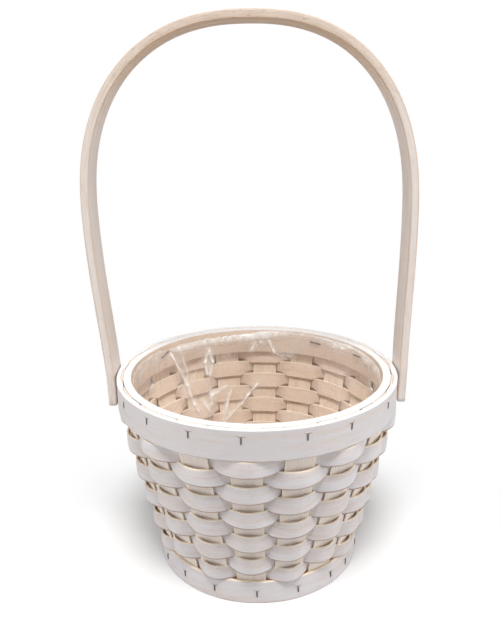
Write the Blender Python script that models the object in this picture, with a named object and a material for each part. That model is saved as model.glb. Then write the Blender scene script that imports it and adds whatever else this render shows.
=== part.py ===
"""Round chip-wood basket with a swing handle, as separate strips, hoops, staples and screws.

Units are metres and +Z is up. The origin is the middle of the base, on the plane the basket
stands on. The handle's loop lies in the XZ plane. Angles are measured in degrees from the
front of the basket (-Y) towards +X.
"""

import math

import bmesh
import bpy
import numpy as np

# Basket as a whole
BASKET_HEIGHT = 0.156
RIM_OUTER_RADIUS = 0.110
BASE_OUTER_RADIUS = 0.082
FIT_GAP = 0.0003

# Rim: an outer and an inner hoop with the stakes between them
OUTER_HOOP_THICKNESS = 0.0032
OUTER_HOOP_HEIGHT = 0.0225
OUTER_HOOP_JOINT_ANGLE = 180.0
OUTER_HOOP_SCARF = 0.0
INNER_HOOP_THICKNESS = 0.006
INNER_HOOP_HEIGHT = 0.0225
INNER_HOOP_JOINT_ANGLE = 105.2
INNER_HOOP_SCARF = -9.0
HOOP_EDGE = 0.0007
HOOP_JOINT_GAP = 0.0006

# Base: a solid disc, with the stakes and a bottom band round its edge
BASE_DISC_THICKNESS = 0.011
BOTTOM_BAND_THICKNESS = 0.0024
BOTTOM_BAND_HEIGHT = 0.0185
BOTTOM_BAND_JOINT_ANGLE = 200.0
BOTTOM_BAND_SCARF = 0.0

# Stakes: the upright strips
STAKE_COUNT = 18
STAKE_WIDTH = 0.0215
STAKE_THICKNESS = 0.0013
FIRST_STAKE_ANGLE = -4.8

# Weavers: one strip a row, in front of one stake and behind the next
ROW_COUNT = 10
WEAVER_THICKNESS = 0.0013
OUTWARD_BULGE_TOP = 0.0034
OUTWARD_BULGE_BOTTOM = 0.0060
INWARD_BULGE = 0.0026
CREST_FLATNESS = 0.45

# Liner: a thin film cup that stands on the base disc
LINER_THICKNESS = 0.0010
LINER_BELOW_RIM = 0.006

# Staples that clench the rim, each with its own small error of place
STAPLE_CROWN = 0.0056
STAPLE_WIRE_WIDTH = 0.0009
STAPLE_WIRE_THICKNESS = 0.0005
STAPLE_LEG_DEPTH = 0.0078
STAPLE_BELOW_RIM = 0.0072
STAPLE_STRAYS = (-1.3, 1.6, -0.5, 2.8, 0.6, -0.3)

# Handle: one bent strip that swells out above its feet, with a flattened round crown
HANDLE_THICKNESS = 0.0063
HANDLE_WIDTH = 0.028
HANDLE_EDGE = 0.0014
HANDLE_SWELL = 0.00555
HANDLE_WIDEST_ABOVE_RIM = 0.123
HANDLE_CROWN_ABOVE_RIM = 0.2585
HANDLE_CROWN_EXPONENT = 2.35
HANDLE_FOOT_BELOW_RIM = 0.025
HANDLE_RUNNING_GAP = 0.0005
HANDLE_LEAN = 0.004
HANDLE_LEAN_SPAN = 0.37

# Screws on which the handle swings
PIVOT_BELOW_RIM = 0.013
SCREW_SHANK_RADIUS = 0.0019
SCREW_HEAD_RADIUS = 0.0045
SCREW_HEAD_HEIGHT = 0.0023
SCREW_HEAD_ROUNDING = 0.97
SCREW_TIP_RADIUS = 0.0004
SCREW_TIP_LENGTH = 0.0015
SCREW_BITE = 0.004

# Fineness of the meshes
HOOP_SEGMENTS = 72
WEAVER_STEPS_PER_STAKE = 5
STAKE_CORNERS_ACROSS = 4
STAKE_SLOPE_SPANS = 4
LINER_SEGMENTS = 60
LEG_SPANS = 8
CROWN_SPANS = 34
SCREW_SIDES = 14
SMOOTH_ANGLE = math.radians(30)

# Sizes that follow from the ones above
outer_hoop_inner_radius = RIM_OUTER_RADIUS - OUTER_HOOP_THICKNESS
stake_rim_radius = outer_hoop_inner_radius - FIT_GAP - STAKE_THICKNESS / 2
inner_hoop_outer_radius = stake_rim_radius - STAKE_THICKNESS / 2 - FIT_GAP
inner_hoop_inner_radius = inner_hoop_outer_radius - INNER_HOOP_THICKNESS
rim_bottom = BASKET_HEIGHT - max(OUTER_HOOP_HEIGHT, INNER_HOOP_HEIGHT)
band_inner_radius = BASE_OUTER_RADIUS - BOTTOM_BAND_THICKNESS
stake_foot_radius = band_inner_radius - FIT_GAP - STAKE_THICKNESS / 2
base_disc_radius = stake_foot_radius - STAKE_THICKNESS / 2 - FIT_GAP
row_pitch = (rim_bottom - BOTTOM_BAND_HEIGHT - FIT_GAP) / ROW_COUNT
pivot_height = BASKET_HEIGHT - PIVOT_BELOW_RIM
handle_foot_centre = RIM_OUTER_RADIUS + HANDLE_RUNNING_GAP + HANDLE_THICKNESS / 2
handle_half_span = handle_foot_centre + HANDLE_SWELL


def clear_scene():
    for thing in list(bpy.data.objects):
        bpy.data.objects.remove(thing)


def finish(name, colour, roughness, metallic=0.0, alpha=1.0):
    """A plain material of one colour."""
    material = bpy.data.materials.new(name)
    material.use_nodes = True
    shader = material.node_tree.nodes["Principled BSDF"]
    shader.inputs["Base Color"].default_value = (*colour, 1.0)
    shader.inputs["Roughness"].default_value = roughness
    shader.inputs["Metallic"].default_value = metallic
    shader.inputs["Alpha"].default_value = alpha
    return material


def add_solid(name, points, faces, material):
    """An object with its own mesh, its faces turned outwards and its round sides smooth."""
    mesh = bpy.data.meshes.new(name)
    mesh.from_pydata(np.asarray(points).tolist(), [], faces)
    shape = bmesh.new()
    shape.from_mesh(mesh)
    bmesh.ops.recalc_face_normals(shape, faces=shape.faces)
    shape.to_mesh(mesh)
    shape.free()
    mesh.materials.append(material)
    mesh.shade_smooth()
    mesh.set_sharp_from_angle(angle=SMOOTH_ANGLE)
    solid = bpy.data.objects.new(name, mesh)
    bpy.context.scene.collection.objects.link(solid)
    return solid


def loft(sections, closed=False):
    """Points and faces through cross-sections, an array of stations by corners by 3."""
    stations, corners, _ = sections.shape
    spans = stations if closed else stations - 1
    row = np.arange(corners)
    here = np.arange(spans)[:, None] * corners + row
    ahead = (np.arange(1, spans + 1) % stations)[:, None] * corners + row
    sides = np.stack([here, np.roll(here, -1, 1), np.roll(ahead, -1, 1), ahead], axis=-1)
    faces = sides.reshape(-1, 4).tolist()
    if not closed:
        faces.append(row.tolist())
        faces.append((row + (stations - 1) * corners).tolist())
    return sections.reshape(-1, 3), faces


def around(angle, radius, height):
    """Points at an angle in degrees from the front, a radius and a height, as an array."""
    turn = np.radians(angle)
    return np.stack(
        np.broadcast_arrays(radius * np.sin(turn), -radius * np.cos(turn), height), axis=-1
    )


def cut(solid, cutter):
    """Takes the cutter's space out of the solid."""
    modifier = solid.modifiers.new(cutter.name, "BOOLEAN")
    modifier.operation = "DIFFERENCE"
    modifier.object = cutter


def as_cutter(solid):
    solid.hide_render = True
    solid.display_type = "WIRE"
    return solid


def wall_radius(height):
    """Radius of the middle of the stakes: upright in the band and the rim, sloping between."""
    heights = [BOTTOM_BAND_HEIGHT, rim_bottom]
    return np.interp(height, heights, [stake_foot_radius, stake_rim_radius])


def stake_angle(index):
    return FIRST_STAKE_ANGLE + index * 360 / STAKE_COUNT


def hoop(name, inner_radius, thickness, bottom, height, joint_angle, scarf, material):
    """A strip bent into a ring, its top edges eased, with its two ends nearly meeting.

    The joint is at joint_angle on the inside of the ring, and turns by scarf towards the outside.
    """
    outer_radius = inner_radius + thickness
    top = bottom + height
    half_gap = math.degrees(HOOP_JOINT_GAP / 2 / outer_radius)
    start = joint_angle + half_gap
    angles = np.linspace(start, start + 360 - 2 * half_gap, HOOP_SEGMENTS + 1)[:, None]
    radii = np.array([0, thickness, thickness, thickness - HOOP_EDGE, HOOP_EDGE, 0])
    heights = np.array([bottom, bottom, top - HOOP_EDGE, top, top, top - HOOP_EDGE])
    slant = scarf * radii / thickness
    return add_solid(name, *loft(around(angles + slant, inner_radius + radii, heights)), material)


def base_disc(material):
    """The solid board that the band and the stakes are fastened to."""
    angles = np.arange(HOOP_SEGMENTS) * 360 / HOOP_SEGMENTS
    heights = np.array([0, BASE_DISC_THICKNESS])[:, None]
    return add_solid("base_disc", *loft(around(angles, base_disc_radius, heights)), material)


def stake(index, material):
    """A strip of constant width from the base to the rim, curved across with the wall."""
    slope = np.linspace(BOTTOM_BAND_HEIGHT, rim_bottom, STAKE_SLOPE_SPANS + 1)
    heights = np.concatenate([[0], slope, [BASKET_HEIGHT]])[:, None]
    radius = wall_radius(heights)
    half_width = np.degrees(np.arcsin(STAKE_WIDTH / 2 / radius))
    across = np.linspace(-1, 1, STAKE_CORNERS_ACROSS)
    sides = np.concatenate([across, across[::-1]])
    depth = np.repeat([STAKE_THICKNESS / 2, -STAKE_THICKNESS / 2], STAKE_CORNERS_ACROSS)
    sections = around(stake_angle(index) + half_width * sides, radius + depth, heights)
    return add_solid(f"stake_{index + 1:02}", *loft(sections), material)


def weave(angle, row):
    """+1 in front of a stake and -1 behind the next, its crests flattened to pass their edges."""
    swing = np.cos(np.radians(STAKE_COUNT / 2 * (angle - FIRST_STAKE_ANGLE) + 180 * row))
    flat = CREST_FLATNESS**2
    return swing * np.sqrt((1 + flat) / (flat + swing**2))


def bulge(wave, outward):
    """Distance from the middle of the wall: outward at +1, INWARD_BULGE inside at -1."""
    return (outward + INWARD_BULGE) / 2 * wave + (outward - INWARD_BULGE) / 2 * wave**2


def weaver(row, material):
    """A waving ring, upright in front of the stakes and sloping with the wall behind them."""
    steps = STAKE_COUNT * WEAVER_STEPS_PER_STAKE
    angles = FIRST_STAKE_ANGLE + np.arange(steps)[:, None] * 360 / steps
    top = rim_bottom - FIT_GAP - row * row_pitch
    bottom = top - row_pitch + FIT_GAP
    wave = weave(angles, row)
    top_radius = wall_radius(top) + bulge(wave, OUTWARD_BULGE_TOP)
    bottom_radius = wall_radius(bottom) + bulge(wave, OUTWARD_BULGE_BOTTOM)
    half = WEAVER_THICKNESS / 2
    radii = np.concatenate(
        [bottom_radius - half, bottom_radius + half, top_radius + half, top_radius - half], axis=1
    )
    heights = np.array([bottom, bottom, top, top])
    sections = around(angles, radii, heights)
    return add_solid(f"weaver_{row + 1:02}", *loft(sections, closed=True), material)


def liner(material):
    """A film cup, just inside the weave and then the inner hoop, with its floor on the disc."""
    inset = INWARD_BULGE + WEAVER_THICKNESS / 2 + FIT_GAP
    widest = inner_hoop_inner_radius - FIT_GAP
    foot = BASE_DISC_THICKNESS + FIT_GAP
    slope_radii = [stake_foot_radius, stake_rim_radius]
    bend = np.interp(widest + inset, slope_radii, [BOTTOM_BAND_HEIGHT, rim_bottom])
    outer_heights = np.array([foot, BOTTOM_BAND_HEIGHT, bend, BASKET_HEIGHT - LINER_BELOW_RIM])
    outer_radii = np.minimum(wall_radius(outer_heights) - inset, widest)
    inner_heights = np.maximum(outer_heights, foot + LINER_THICKNESS)
    radii = np.concatenate([outer_radii, outer_radii[::-1] - LINER_THICKNESS])[:, None]
    heights = np.concatenate([outer_heights, inner_heights[::-1]])[:, None]
    angles = np.arange(LINER_SEGMENTS) * 360 / LINER_SEGMENTS
    return add_solid("liner", *loft(around(angles, radii, heights)), material)


def staple_angle(index):
    return stake_angle(index) + STAPLE_STRAYS[index % len(STAPLE_STRAYS)]


def across_rim(angle, radii, heights, half_width):
    """An outline in a radial plane of the rim, as two sections a width apart."""
    turn = math.radians(angle)
    sideways = half_width * np.array([math.cos(turn), math.sin(turn), 0])
    outline = around(angle, np.array(radii), np.array(heights))
    return np.stack([outline - sideways, outline + sideways])


def rim_staple(index, material):
    """A U of flat wire: its crown on the outer hoop, its legs through to the inner hoop."""
    inside = RIM_OUTER_RADIUS + FIT_GAP
    outside = inside + STAPLE_WIRE_THICKNESS
    tip = RIM_OUTER_RADIUS - STAPLE_LEG_DEPTH
    middle = BASKET_HEIGHT - STAPLE_BELOW_RIM
    top = middle + STAPLE_CROWN / 2
    bottom = middle - STAPLE_CROWN / 2
    wire = STAPLE_WIRE_THICKNESS
    radii = [outside, tip, tip, inside, inside, tip, tip, outside]
    heights = [top, top, top - wire, top - wire, bottom + wire, bottom + wire, bottom, bottom]
    sections = across_rim(staple_angle(index), radii, heights, STAPLE_WIRE_WIDTH / 2)
    return add_solid(f"rim_staple_{index + 1:02}", *loft(sections), material)


def staple_holes(material):
    """Square holes for every staple leg, a fit gap wider and deeper than the leg."""
    start = RIM_OUTER_RADIUS + STAPLE_WIRE_THICKNESS
    end = RIM_OUTER_RADIUS - STAPLE_LEG_DEPTH - FIT_GAP
    half_height = STAPLE_WIRE_THICKNESS / 2 + FIT_GAP
    half_width = STAPLE_WIRE_WIDTH / 2 + FIT_GAP
    middle = BASKET_HEIGHT - STAPLE_BELOW_RIM
    reach = (STAPLE_CROWN - STAPLE_WIRE_THICKNESS) / 2
    points = []
    faces = []
    for index in range(STAKE_COUNT):
        for leg in (middle - reach, middle + reach):
            heights = [leg + half_height, leg + half_height, leg - half_height, leg - half_height]
            sections = across_rim(staple_angle(index), [start, end, end, start], heights, half_width)
            box, sides = loft(sections)
            faces += [[corner + len(points) for corner in side] for side in sides]
            points += box.tolist()
    return as_cutter(add_solid("staple_holes", points, faces, material))


def turned(name, side, stations, radii, material):
    """A round piece along the pivot line, from its distances out along X and its radii."""
    turn = np.arange(SCREW_SIDES) * 2 * math.pi / SCREW_SIDES
    radii = np.array(radii)[:, None]
    y = radii * np.cos(turn)
    z = pivot_height + radii * np.sin(turn)
    x = side * np.array(stations)[:, None] + np.zeros_like(y)
    return add_solid(name, *loft(np.stack([x, y, z], axis=-1)), material)


def handle_middle(above_rim):
    """How far the middle of the handle's loop leans to +X, at a height above the rim."""
    lean = np.sin(math.pi * np.maximum(above_rim, 0) / HANDLE_LEAN_SPAN)
    return -HANDLE_LEAN * lean


def leg_reach(above_rim):
    """Half the span between the legs' middle lines: a cosine blend from foot to widest."""
    rise = HANDLE_WIDEST_ABOVE_RIM + HANDLE_FOOT_BELOW_RIM
    share = (1 - np.cos(math.pi * (above_rim + HANDLE_FOOT_BELOW_RIM) / rise)) / 2
    return handle_foot_centre + HANDLE_SWELL * share


def handle_line():
    """The handle's middle line in X and height above the rim, from its left foot to its right.

    The legs follow leg_reach, and the crown is the upper half of a superellipse.
    """
    leg = np.linspace(-HANDLE_FOOT_BELOW_RIM, HANDLE_WIDEST_ABOVE_RIM, LEG_SPANS + 1)[:-1]
    turn = np.linspace(math.pi, 0, CROWN_SPANS + 1)
    power = 2 / HANDLE_CROWN_EXPONENT
    crown_x = handle_half_span * np.sign(np.cos(turn)) * np.abs(np.cos(turn)) ** power
    crown_rise = HANDLE_CROWN_ABOVE_RIM - HANDLE_WIDEST_ABOVE_RIM
    crown_z = HANDLE_WIDEST_ABOVE_RIM + crown_rise * np.abs(np.sin(turn)) ** power
    x = np.concatenate([-leg_reach(leg), crown_x, leg_reach(leg)[::-1]])
    z = np.concatenate([leg, crown_z, leg[::-1]])
    return x + handle_middle(z), z


def handle(material):
    """The bent strip, in its pivot's coordinates, with its long edges eased."""
    x, above_rim = handle_line()
    along = np.stack([np.gradient(x), np.zeros_like(x), np.gradient(above_rim)], axis=-1)
    along[0] = along[-1] = (0, 0, 1)
    along[-1] *= -1
    along /= np.linalg.norm(along, axis=-1, keepdims=True)
    outward = np.cross(along, (0, 1, 0))
    middle = np.stack([x, 0 * x, above_rim + PIVOT_BELOW_RIM], axis=-1)
    t = HANDLE_THICKNESS / 2
    w = HANDLE_WIDTH / 2
    thick = np.array([t, t, t - HANDLE_EDGE, HANDLE_EDGE - t, -t, -t, HANDLE_EDGE - t, t - HANDLE_EDGE])
    wide = np.array([w - HANDLE_EDGE, HANDLE_EDGE - w, -w, -w, HANDLE_EDGE - w, w - HANDLE_EDGE, w, w])
    sections = middle[:, None] + outward[:, None] * thick[:, None] + np.array([0, 1, 0]) * wide[:, None]
    return add_solid("handle", *loft(sections), material)


def handle_screw(name, side, material):
    """A round-headed screw through the handle's foot and the outer hoop, into the inner hoop."""
    under_head = leg_reach(-PIVOT_BELOW_RIM) + HANDLE_THICKNESS / 2 + FIT_GAP
    tip = inner_hoop_outer_radius - SCREW_BITE
    share = np.array([0, 0.25, 0.65, 0.9, 1.0])
    dome = SCREW_HEAD_RADIUS * np.sqrt(1 - (SCREW_HEAD_ROUNDING * share) ** 2)
    stations = [tip, tip + SCREW_TIP_LENGTH, under_head, *(under_head + SCREW_HEAD_HEIGHT * share)]
    radii = [SCREW_TIP_RADIUS, SCREW_SHANK_RADIUS, SCREW_SHANK_RADIUS, *dome]
    return turned(name, side, stations, radii, material)


def screw_hole(name, side, material):
    """Space for one screw's shank, a fit gap wider and deeper than the shank."""
    start = inner_hoop_outer_radius - SCREW_BITE - FIT_GAP
    end = RIM_OUTER_RADIUS + HANDLE_THICKNESS * 2
    radius = SCREW_SHANK_RADIUS + FIT_GAP
    return as_cutter(turned(name, side, [start, end], [radius, radius], material))


def main():
    clear_scene()
    washed = (0.70, 0.66, 0.64)
    rim_wood = finish("rim whitewash", (0.80, 0.77, 0.75), 0.75)
    band_wood = finish("band whitewash", washed, 0.78)
    stake_wood = finish("stake whitewash", (0.62, 0.55, 0.50), 0.8)
    weaver_wood = finish("weaver whitewash", washed, 0.78)
    handle_wood = finish("handle whitewash", (0.66, 0.60, 0.56), 0.7)
    bare_wood = finish("bare board", (0.66, 0.50, 0.36), 0.8)
    film = finish("clear film", (0.92, 0.93, 0.94), 0.15, alpha=0.3)
    staple_steel = finish("staple steel", (0.35, 0.34, 0.33), 0.4, metallic=1.0)
    screw_steel = finish("screw steel", (0.45, 0.44, 0.42), 0.35, metallic=1.0)

    screw_holes = [screw_hole(f"screw_hole_{side:+}", side, screw_steel) for side in (-1, 1)]
    leg_holes = staple_holes(staple_steel)

    base_disc(bare_wood)
    hoop(
        "bottom_band", band_inner_radius, BOTTOM_BAND_THICKNESS, 0,
        BOTTOM_BAND_HEIGHT, BOTTOM_BAND_JOINT_ANGLE, BOTTOM_BAND_SCARF, band_wood,
    )
    drilled = [
        hoop(
            "outer_rim_hoop", outer_hoop_inner_radius, OUTER_HOOP_THICKNESS,
            BASKET_HEIGHT - OUTER_HOOP_HEIGHT, OUTER_HOOP_HEIGHT,
            OUTER_HOOP_JOINT_ANGLE, OUTER_HOOP_SCARF, rim_wood,
        ),
        hoop(
            "inner_rim_hoop", inner_hoop_inner_radius, INNER_HOOP_THICKNESS,
            BASKET_HEIGHT - INNER_HOOP_HEIGHT, INNER_HOOP_HEIGHT,
            INNER_HOOP_JOINT_ANGLE, INNER_HOOP_SCARF, rim_wood,
        ),
    ]
    for index in range(STAKE_COUNT):
        drilled.append(stake(index, stake_wood))
        rim_staple(index, staple_steel)
    for solid in drilled:
        cut(solid, leg_holes)
        for hole in screw_holes:
            cut(solid, hole)
    for row in range(ROW_COUNT):
        weaver(row, weaver_wood)
    liner(film)

    pivot = bpy.data.objects.new("handle_pivot", None)
    pivot.location = (0, 0, pivot_height)
    bpy.context.scene.collection.objects.link(pivot)
    loop = handle(handle_wood)
    loop.parent = pivot
    for hole in screw_holes:
        cut(loop, hole)
    handle_screw("handle_screw_left", -1, screw_steel)
    handle_screw("handle_screw_right", 1, screw_steel)


main()
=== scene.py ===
"""Looks of a round whitewashed chip-wood basket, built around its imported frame.

Run as a script, it registers its operators, calls them in order and leaves a finished scene.
Units are metres and +Z is up. Angles are in radians, from the front of the basket (-Y) towards +X.
"""

import math
from typing import NamedTuple

import bmesh
import bpy
import numpy as np
from bpy.props import FloatProperty, FloatVectorProperty, IntProperty, PointerProperty
from mathutils import Matrix, Vector


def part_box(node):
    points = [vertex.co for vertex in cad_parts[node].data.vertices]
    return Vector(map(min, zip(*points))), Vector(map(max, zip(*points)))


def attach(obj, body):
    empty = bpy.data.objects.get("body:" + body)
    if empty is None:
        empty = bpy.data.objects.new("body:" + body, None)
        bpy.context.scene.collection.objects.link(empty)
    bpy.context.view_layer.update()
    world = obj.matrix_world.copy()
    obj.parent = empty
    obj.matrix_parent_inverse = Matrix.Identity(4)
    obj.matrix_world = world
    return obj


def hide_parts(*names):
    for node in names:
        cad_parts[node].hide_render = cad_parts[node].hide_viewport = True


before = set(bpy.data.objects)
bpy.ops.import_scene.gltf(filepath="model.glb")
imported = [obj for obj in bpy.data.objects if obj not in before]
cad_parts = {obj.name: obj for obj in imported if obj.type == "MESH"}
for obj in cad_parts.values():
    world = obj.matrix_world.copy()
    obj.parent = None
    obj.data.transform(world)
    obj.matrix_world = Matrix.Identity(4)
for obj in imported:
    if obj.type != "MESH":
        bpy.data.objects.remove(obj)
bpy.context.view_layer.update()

bl_info = {
    "name": "Chip-wood basket",
    "version": (1, 0, 0),
    "blender": (4, 5, 0),
    "location": "View3D > Sidebar > Basket",
    "description": "Dresses the frame of a woven chip-wood basket: strips, hoops, handle and film",
    "category": "Add Mesh",
}

HOOP_LOW, HOOP_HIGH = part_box("outer_rim_hoop")
BAND_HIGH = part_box("bottom_band")[1]

# Corner radius of stakes and weavers, and how far apart the grain of neighbouring strips is taken.
STRIP_EASING = 0.00025
GRAIN_SHIFT = 0.731

# Height of the band's staples, and how far below the rim the film's staples are.
BAND_STAPLE_HEIGHT = 0.0085
FILM_STAPLE_DROP = 0.0083

# Angle, tilt, stray upwards and pinch of the staples that hold the film, with angles in degrees.
FILM_STAPLES = (
    (234.5, 112.0, 0.0, 1.0),
    (146.1, 86.0, 0.0, 0.6),
    (117.6, 94.0, 0.0004, 0.6),
    (62.0, 90.0, -0.0003, 1.0),
    (8.0, 84.0, 0.0002, 1.0),
    (-57.0, 97.0, 0.0, 1.0),
)


def tone(red, green, blue):
    """A colour written as on a screen, 0 to 255, as linear light."""
    shares = np.array([red, green, blue]) / 255
    linear = np.where(shares <= 0.04045, shares / 12.92, ((shares + 0.055) / 1.055) ** 2.4)
    return tuple(linear.tolist())


def length(name, description, default):
    """A size in metres."""
    return FloatProperty(name=name, description=description, default=default, min=0.0, unit="LENGTH")


def turn(name, description, degrees):
    """An angle, given in degrees and kept in radians."""
    default = math.radians(degrees)
    return FloatProperty(name=name, description=description, default=default, subtype="ANGLE")


def strays(name, description, degrees):
    """Small angles that staples take in turn as they go round."""
    default = [math.radians(value) for value in degrees]
    return FloatVectorProperty(
        name=name, description=description, default=default, size=len(default), subtype="NONE"
    )


def colour(name, description, default):
    """A colour as linear light."""
    return FloatVectorProperty(
        name=name, description=description, default=default, size=3, subtype="COLOR", min=0, max=1
    )


class BasketSizes(bpy.types.PropertyGroup):
    """Sizes of the strips, hoops, handle and liner, as in the solids or within a hair of them."""

    height: length("Height", "From the table to the rim", round(HOOP_HIGH.z, 4))
    rim_radius: length("Rim radius", "Outside of the outer hoop", round(HOOP_HIGH.x, 3))
    base_radius: length("Base radius", "Outside of the bottom band", round(BAND_HIGH.x, 3))
    hoop_height: length("Hoop height", "Height of both rim hoops", round(HOOP_HIGH.z - HOOP_LOW.z, 4))
    band_height: length("Band height", "Height of the bottom band", round(BAND_HIGH.z, 4))
    outer_hoop: length("Outer hoop", "Thickness of the outer hoop", 0.0032)
    inner_hoop: length("Inner hoop", "Thickness of the inner hoop", 0.006)
    band: length("Band", "Thickness of the bottom band", 0.0024)
    strip: length("Strip", "Thickness of a stake or weaver", 0.0013)
    fit_gap: length("Fit gap", "Gap between neighbouring pieces", 0.0003)
    stake_count: IntProperty(name="Stakes", description="Number of upright strips", default=18, min=6)
    stake_width: length("Stake width", "Width of an upright strip", 0.0215)
    first_stake: turn("First stake", "Angle of the first stake from the front", -4.8)
    row_count: IntProperty(name="Rows", description="Number of woven rows", default=10, min=1)
    bulge_top: length("Top bulge", "How far a weaver's top edge stands out", 0.0034)
    bulge_bottom: length("Bottom bulge", "How far a weaver's bottom edge stands out", 0.0060)
    bulge_in: length("Inward bulge", "How far a weaver bends in behind a stake", 0.0020)
    weaver_lean: length("Lean", "How far a weaver leans out at its bottom edge between stakes", 0.0023)
    weaver_overlap: length("Overlap", "How far a weaver's edges reach over its neighbours", 0.0006)
    disc_height: length("Base height", "Top of the base disc", round(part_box("base_disc")[1].z, 4))
    handle_thickness: length("Handle thickness", "Thickness of the handle strip", 0.0063)
    handle_width: length("Handle width", "Width of the handle strip", 0.028)
    handle_swell: length("Handle swell", "How much wider the loop is than its feet", 0.00548)
    handle_widest: length("Widest height", "Height above the rim where the loop is widest", 0.123)
    handle_crown: length("Crown height", "Height above the rim of the loop's top", 0.2585)
    handle_foot: length("Foot depth", "How far the feet reach below the rim", 0.025)
    handle_lean: length("Handle lean", "How far the loop leans to the left", 0.004)
    pivot_drop: length("Screw depth", "Height of the handle screws below the rim", 0.013)
    running_gap: length("Running gap", "Gap between the rim and the handle's feet", 0.0005)
    outer_joint: turn("Outer joint", "Where the outer hoop's ends meet", 180)
    inner_joint: turn("Inner joint", "Where the inner hoop's ends meet, on its inside", 105.2)
    inner_scarf: turn("Inner scarf", "How far that joint slants to its outside", -9)
    band_joint: turn("Band joint", "Where the bottom band's ends meet", 200)
    staple_crown: length("Staple crown", "Height of an upright staple", 0.0056)
    staple_leg: length("Staple leg", "Depth of a staple's legs", 0.0078)
    staple_wire: length("Staple wire", "Width of a staple's flat wire", 0.0009)
    staple_thickness: length("Wire thickness", "Thickness of a staple's flat wire", 0.0005)
    staple_drop: length("Staple depth", "Middle of the rim staples below the rim", 0.0072)
    rim_strays: strays("Rim strays", "How far the rim staples stray", (-1.3, 1.6, -0.5, 2.8, 0.6, -0.3))
    band_strays: strays("Band strays", "How far the band staples stray", (3.1, 5.2, 6.7, 1.0, 0.0, 0.1))
    screw_shank: length("Screw shank", "Radius of a screw's shank", 0.0019)
    screw_head: length("Screw head", "Radius of a screw's head", 0.0045)
    screw_height: length("Screw height", "Height of a screw's head", 0.0023)
    film_corner: length("Film corner", "How rounded the film's bottom corner is", 0.013)
    film_top: length("Film top", "Height of the film's gathered edge", 0.1482)


class BasketColours(bpy.types.PropertyGroup):
    """Colours of the wood, the whitewash and the metal."""

    wood: colour("Wood", "Bare chip wood under the wash", tone(226, 196, 168))
    # Painted light: the inside's wood is lighter than the outside's, to make up for the shade inside
    # the basket.
    lightened_inner_wood: colour("Inner wood", "Chip wood on the inside", tone(252, 226, 200))
    # Painted light: the stakes' wood is lighter than the weavers', to make up for the shade in the
    # recessed windows.
    lightened_window_wood: colour("Window wood", "Chip wood of the upright strips", tone(255, 238, 220))
    worn_wood: colour("Worn wood", "Bare wood of the handle's crown", tone(206, 176, 148))
    raw_edge: colour("Raw edge", "Cut edges of the strips", tone(255, 240, 220))
    # Partly painted light: the rim's top is near white, lighter than its face, for the light from
    # above, and partly a whiter wash.
    rim_top_wash_and_light: colour("Rim edge", "Sanded top of the rim", tone(246, 243, 241))
    wash: colour("Whitewash", "Wash on the strips", tone(225, 221, 223))
    rim_wash: colour("Rim whitewash", "Thicker wash on the rim", tone(216, 211, 212))
    handle_wash: colour("Handle whitewash", "Thin warm wash on the handle", tone(231, 222, 216))
    board: colour("Base board", "Bare board of the base", tone(198, 160, 120))
    steel: colour("Staple wire", "Dull staple wire", tone(120, 116, 112))
    screw: colour("Screws", "Plated screws", tone(170, 166, 158))
    film: colour("Film", "Tint of the clear film", tone(252, 250, 247))


class Wall:
    """Radii, heights and angles that follow from the sizes, worked out as in the solids."""

    # Gaps between the film and what backs it, and how softly it goes from one to the other.
    film_off_weave = 0.0004
    film_off_hoop = 0.0007
    film_rounding = 0.0006

    # Powers that widen a weaver's arch and sharpen it.
    arch_spread = 1.1
    arch_power = 1.9

    def __init__(self, sizes):
        half = sizes.strip / 2
        self.sizes = sizes
        self.outer_hoop_inner = sizes.rim_radius - sizes.outer_hoop
        self.stake_rim = self.outer_hoop_inner - sizes.fit_gap - half
        self.inner_hoop_outer = self.stake_rim - half - sizes.fit_gap
        self.inner_hoop_inner = self.inner_hoop_outer - sizes.inner_hoop
        self.rim_bottom = sizes.height - sizes.hoop_height
        self.band_inner = sizes.base_radius - sizes.band
        self.stake_foot = self.band_inner - sizes.fit_gap - half
        self.row_pitch = (self.rim_bottom - sizes.band_height - sizes.fit_gap) / sizes.row_count

    def radius(self, height):
        """Radius of the stakes' middle: constant in the band and the rim, straight between."""
        heights = [self.sizes.band_height, self.rim_bottom]
        return np.interp(height, heights, [self.stake_foot, self.stake_rim])

    def stake_angle(self, index):
        """Angle of a stake's middle from the front."""
        return self.sizes.first_stake + index * 2 * math.pi / self.sizes.stake_count

    def nails(self, strays):
        """Angles of the upright staples, one at each stake, each a little astray."""
        stakes = range(self.sizes.stake_count)
        return np.array([self.stake_angle(index) + strays[index % len(strays)] for index in stakes])

    def film(self, height):
        """Radius of the film: clear of the weave, and inside the inner hoop near the rim.

        It is the smaller of the two radii, rounded where they cross: -k log(exp(-a/k) + exp(-b/k)).
        """
        weave = self.radius(height) - self.sizes.bulge_in - 1.5 * self.sizes.strip - self.film_off_weave
        hoop = self.inner_hoop_inner - self.film_off_hoop
        return hoop - self.film_rounding * np.logaddexp(0, (hoop - weave) / self.film_rounding)

    def weave(self, angle, row, height):
        """A weaver's distance from an outer stake in pitches, its arch and its freedom to lean.

        An outer stake is one that the row passes in front of, and the nearest one counts. The arch,
        from 0 to 1, is a power of a cosine that comes to nothing at the edge of the next stake,
        behind which the strip lies flat. The freedom, from 0 to 1, is the square of a sine that is
        1 half way.
        """
        pitch = 2 * math.pi / self.sizes.stake_count
        away = np.abs(((angle - self.sizes.first_stake) / pitch + row + 1) % 2 - 1)
        flat_from = 1 - self.sizes.stake_width / (2 * pitch * self.radius(height))
        arch_share = np.minimum(away / flat_from, 1) ** self.arch_spread
        arch = np.cos(math.pi / 2 * arch_share) ** self.arch_power
        past = np.clip((away - 0.5) / (flat_from - 0.5), 0, 1)
        free = np.where(away < 0.5, np.sin(math.pi * away) ** 2, np.cos(math.pi / 2 * past) ** 2)
        return away, arch, free


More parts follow.
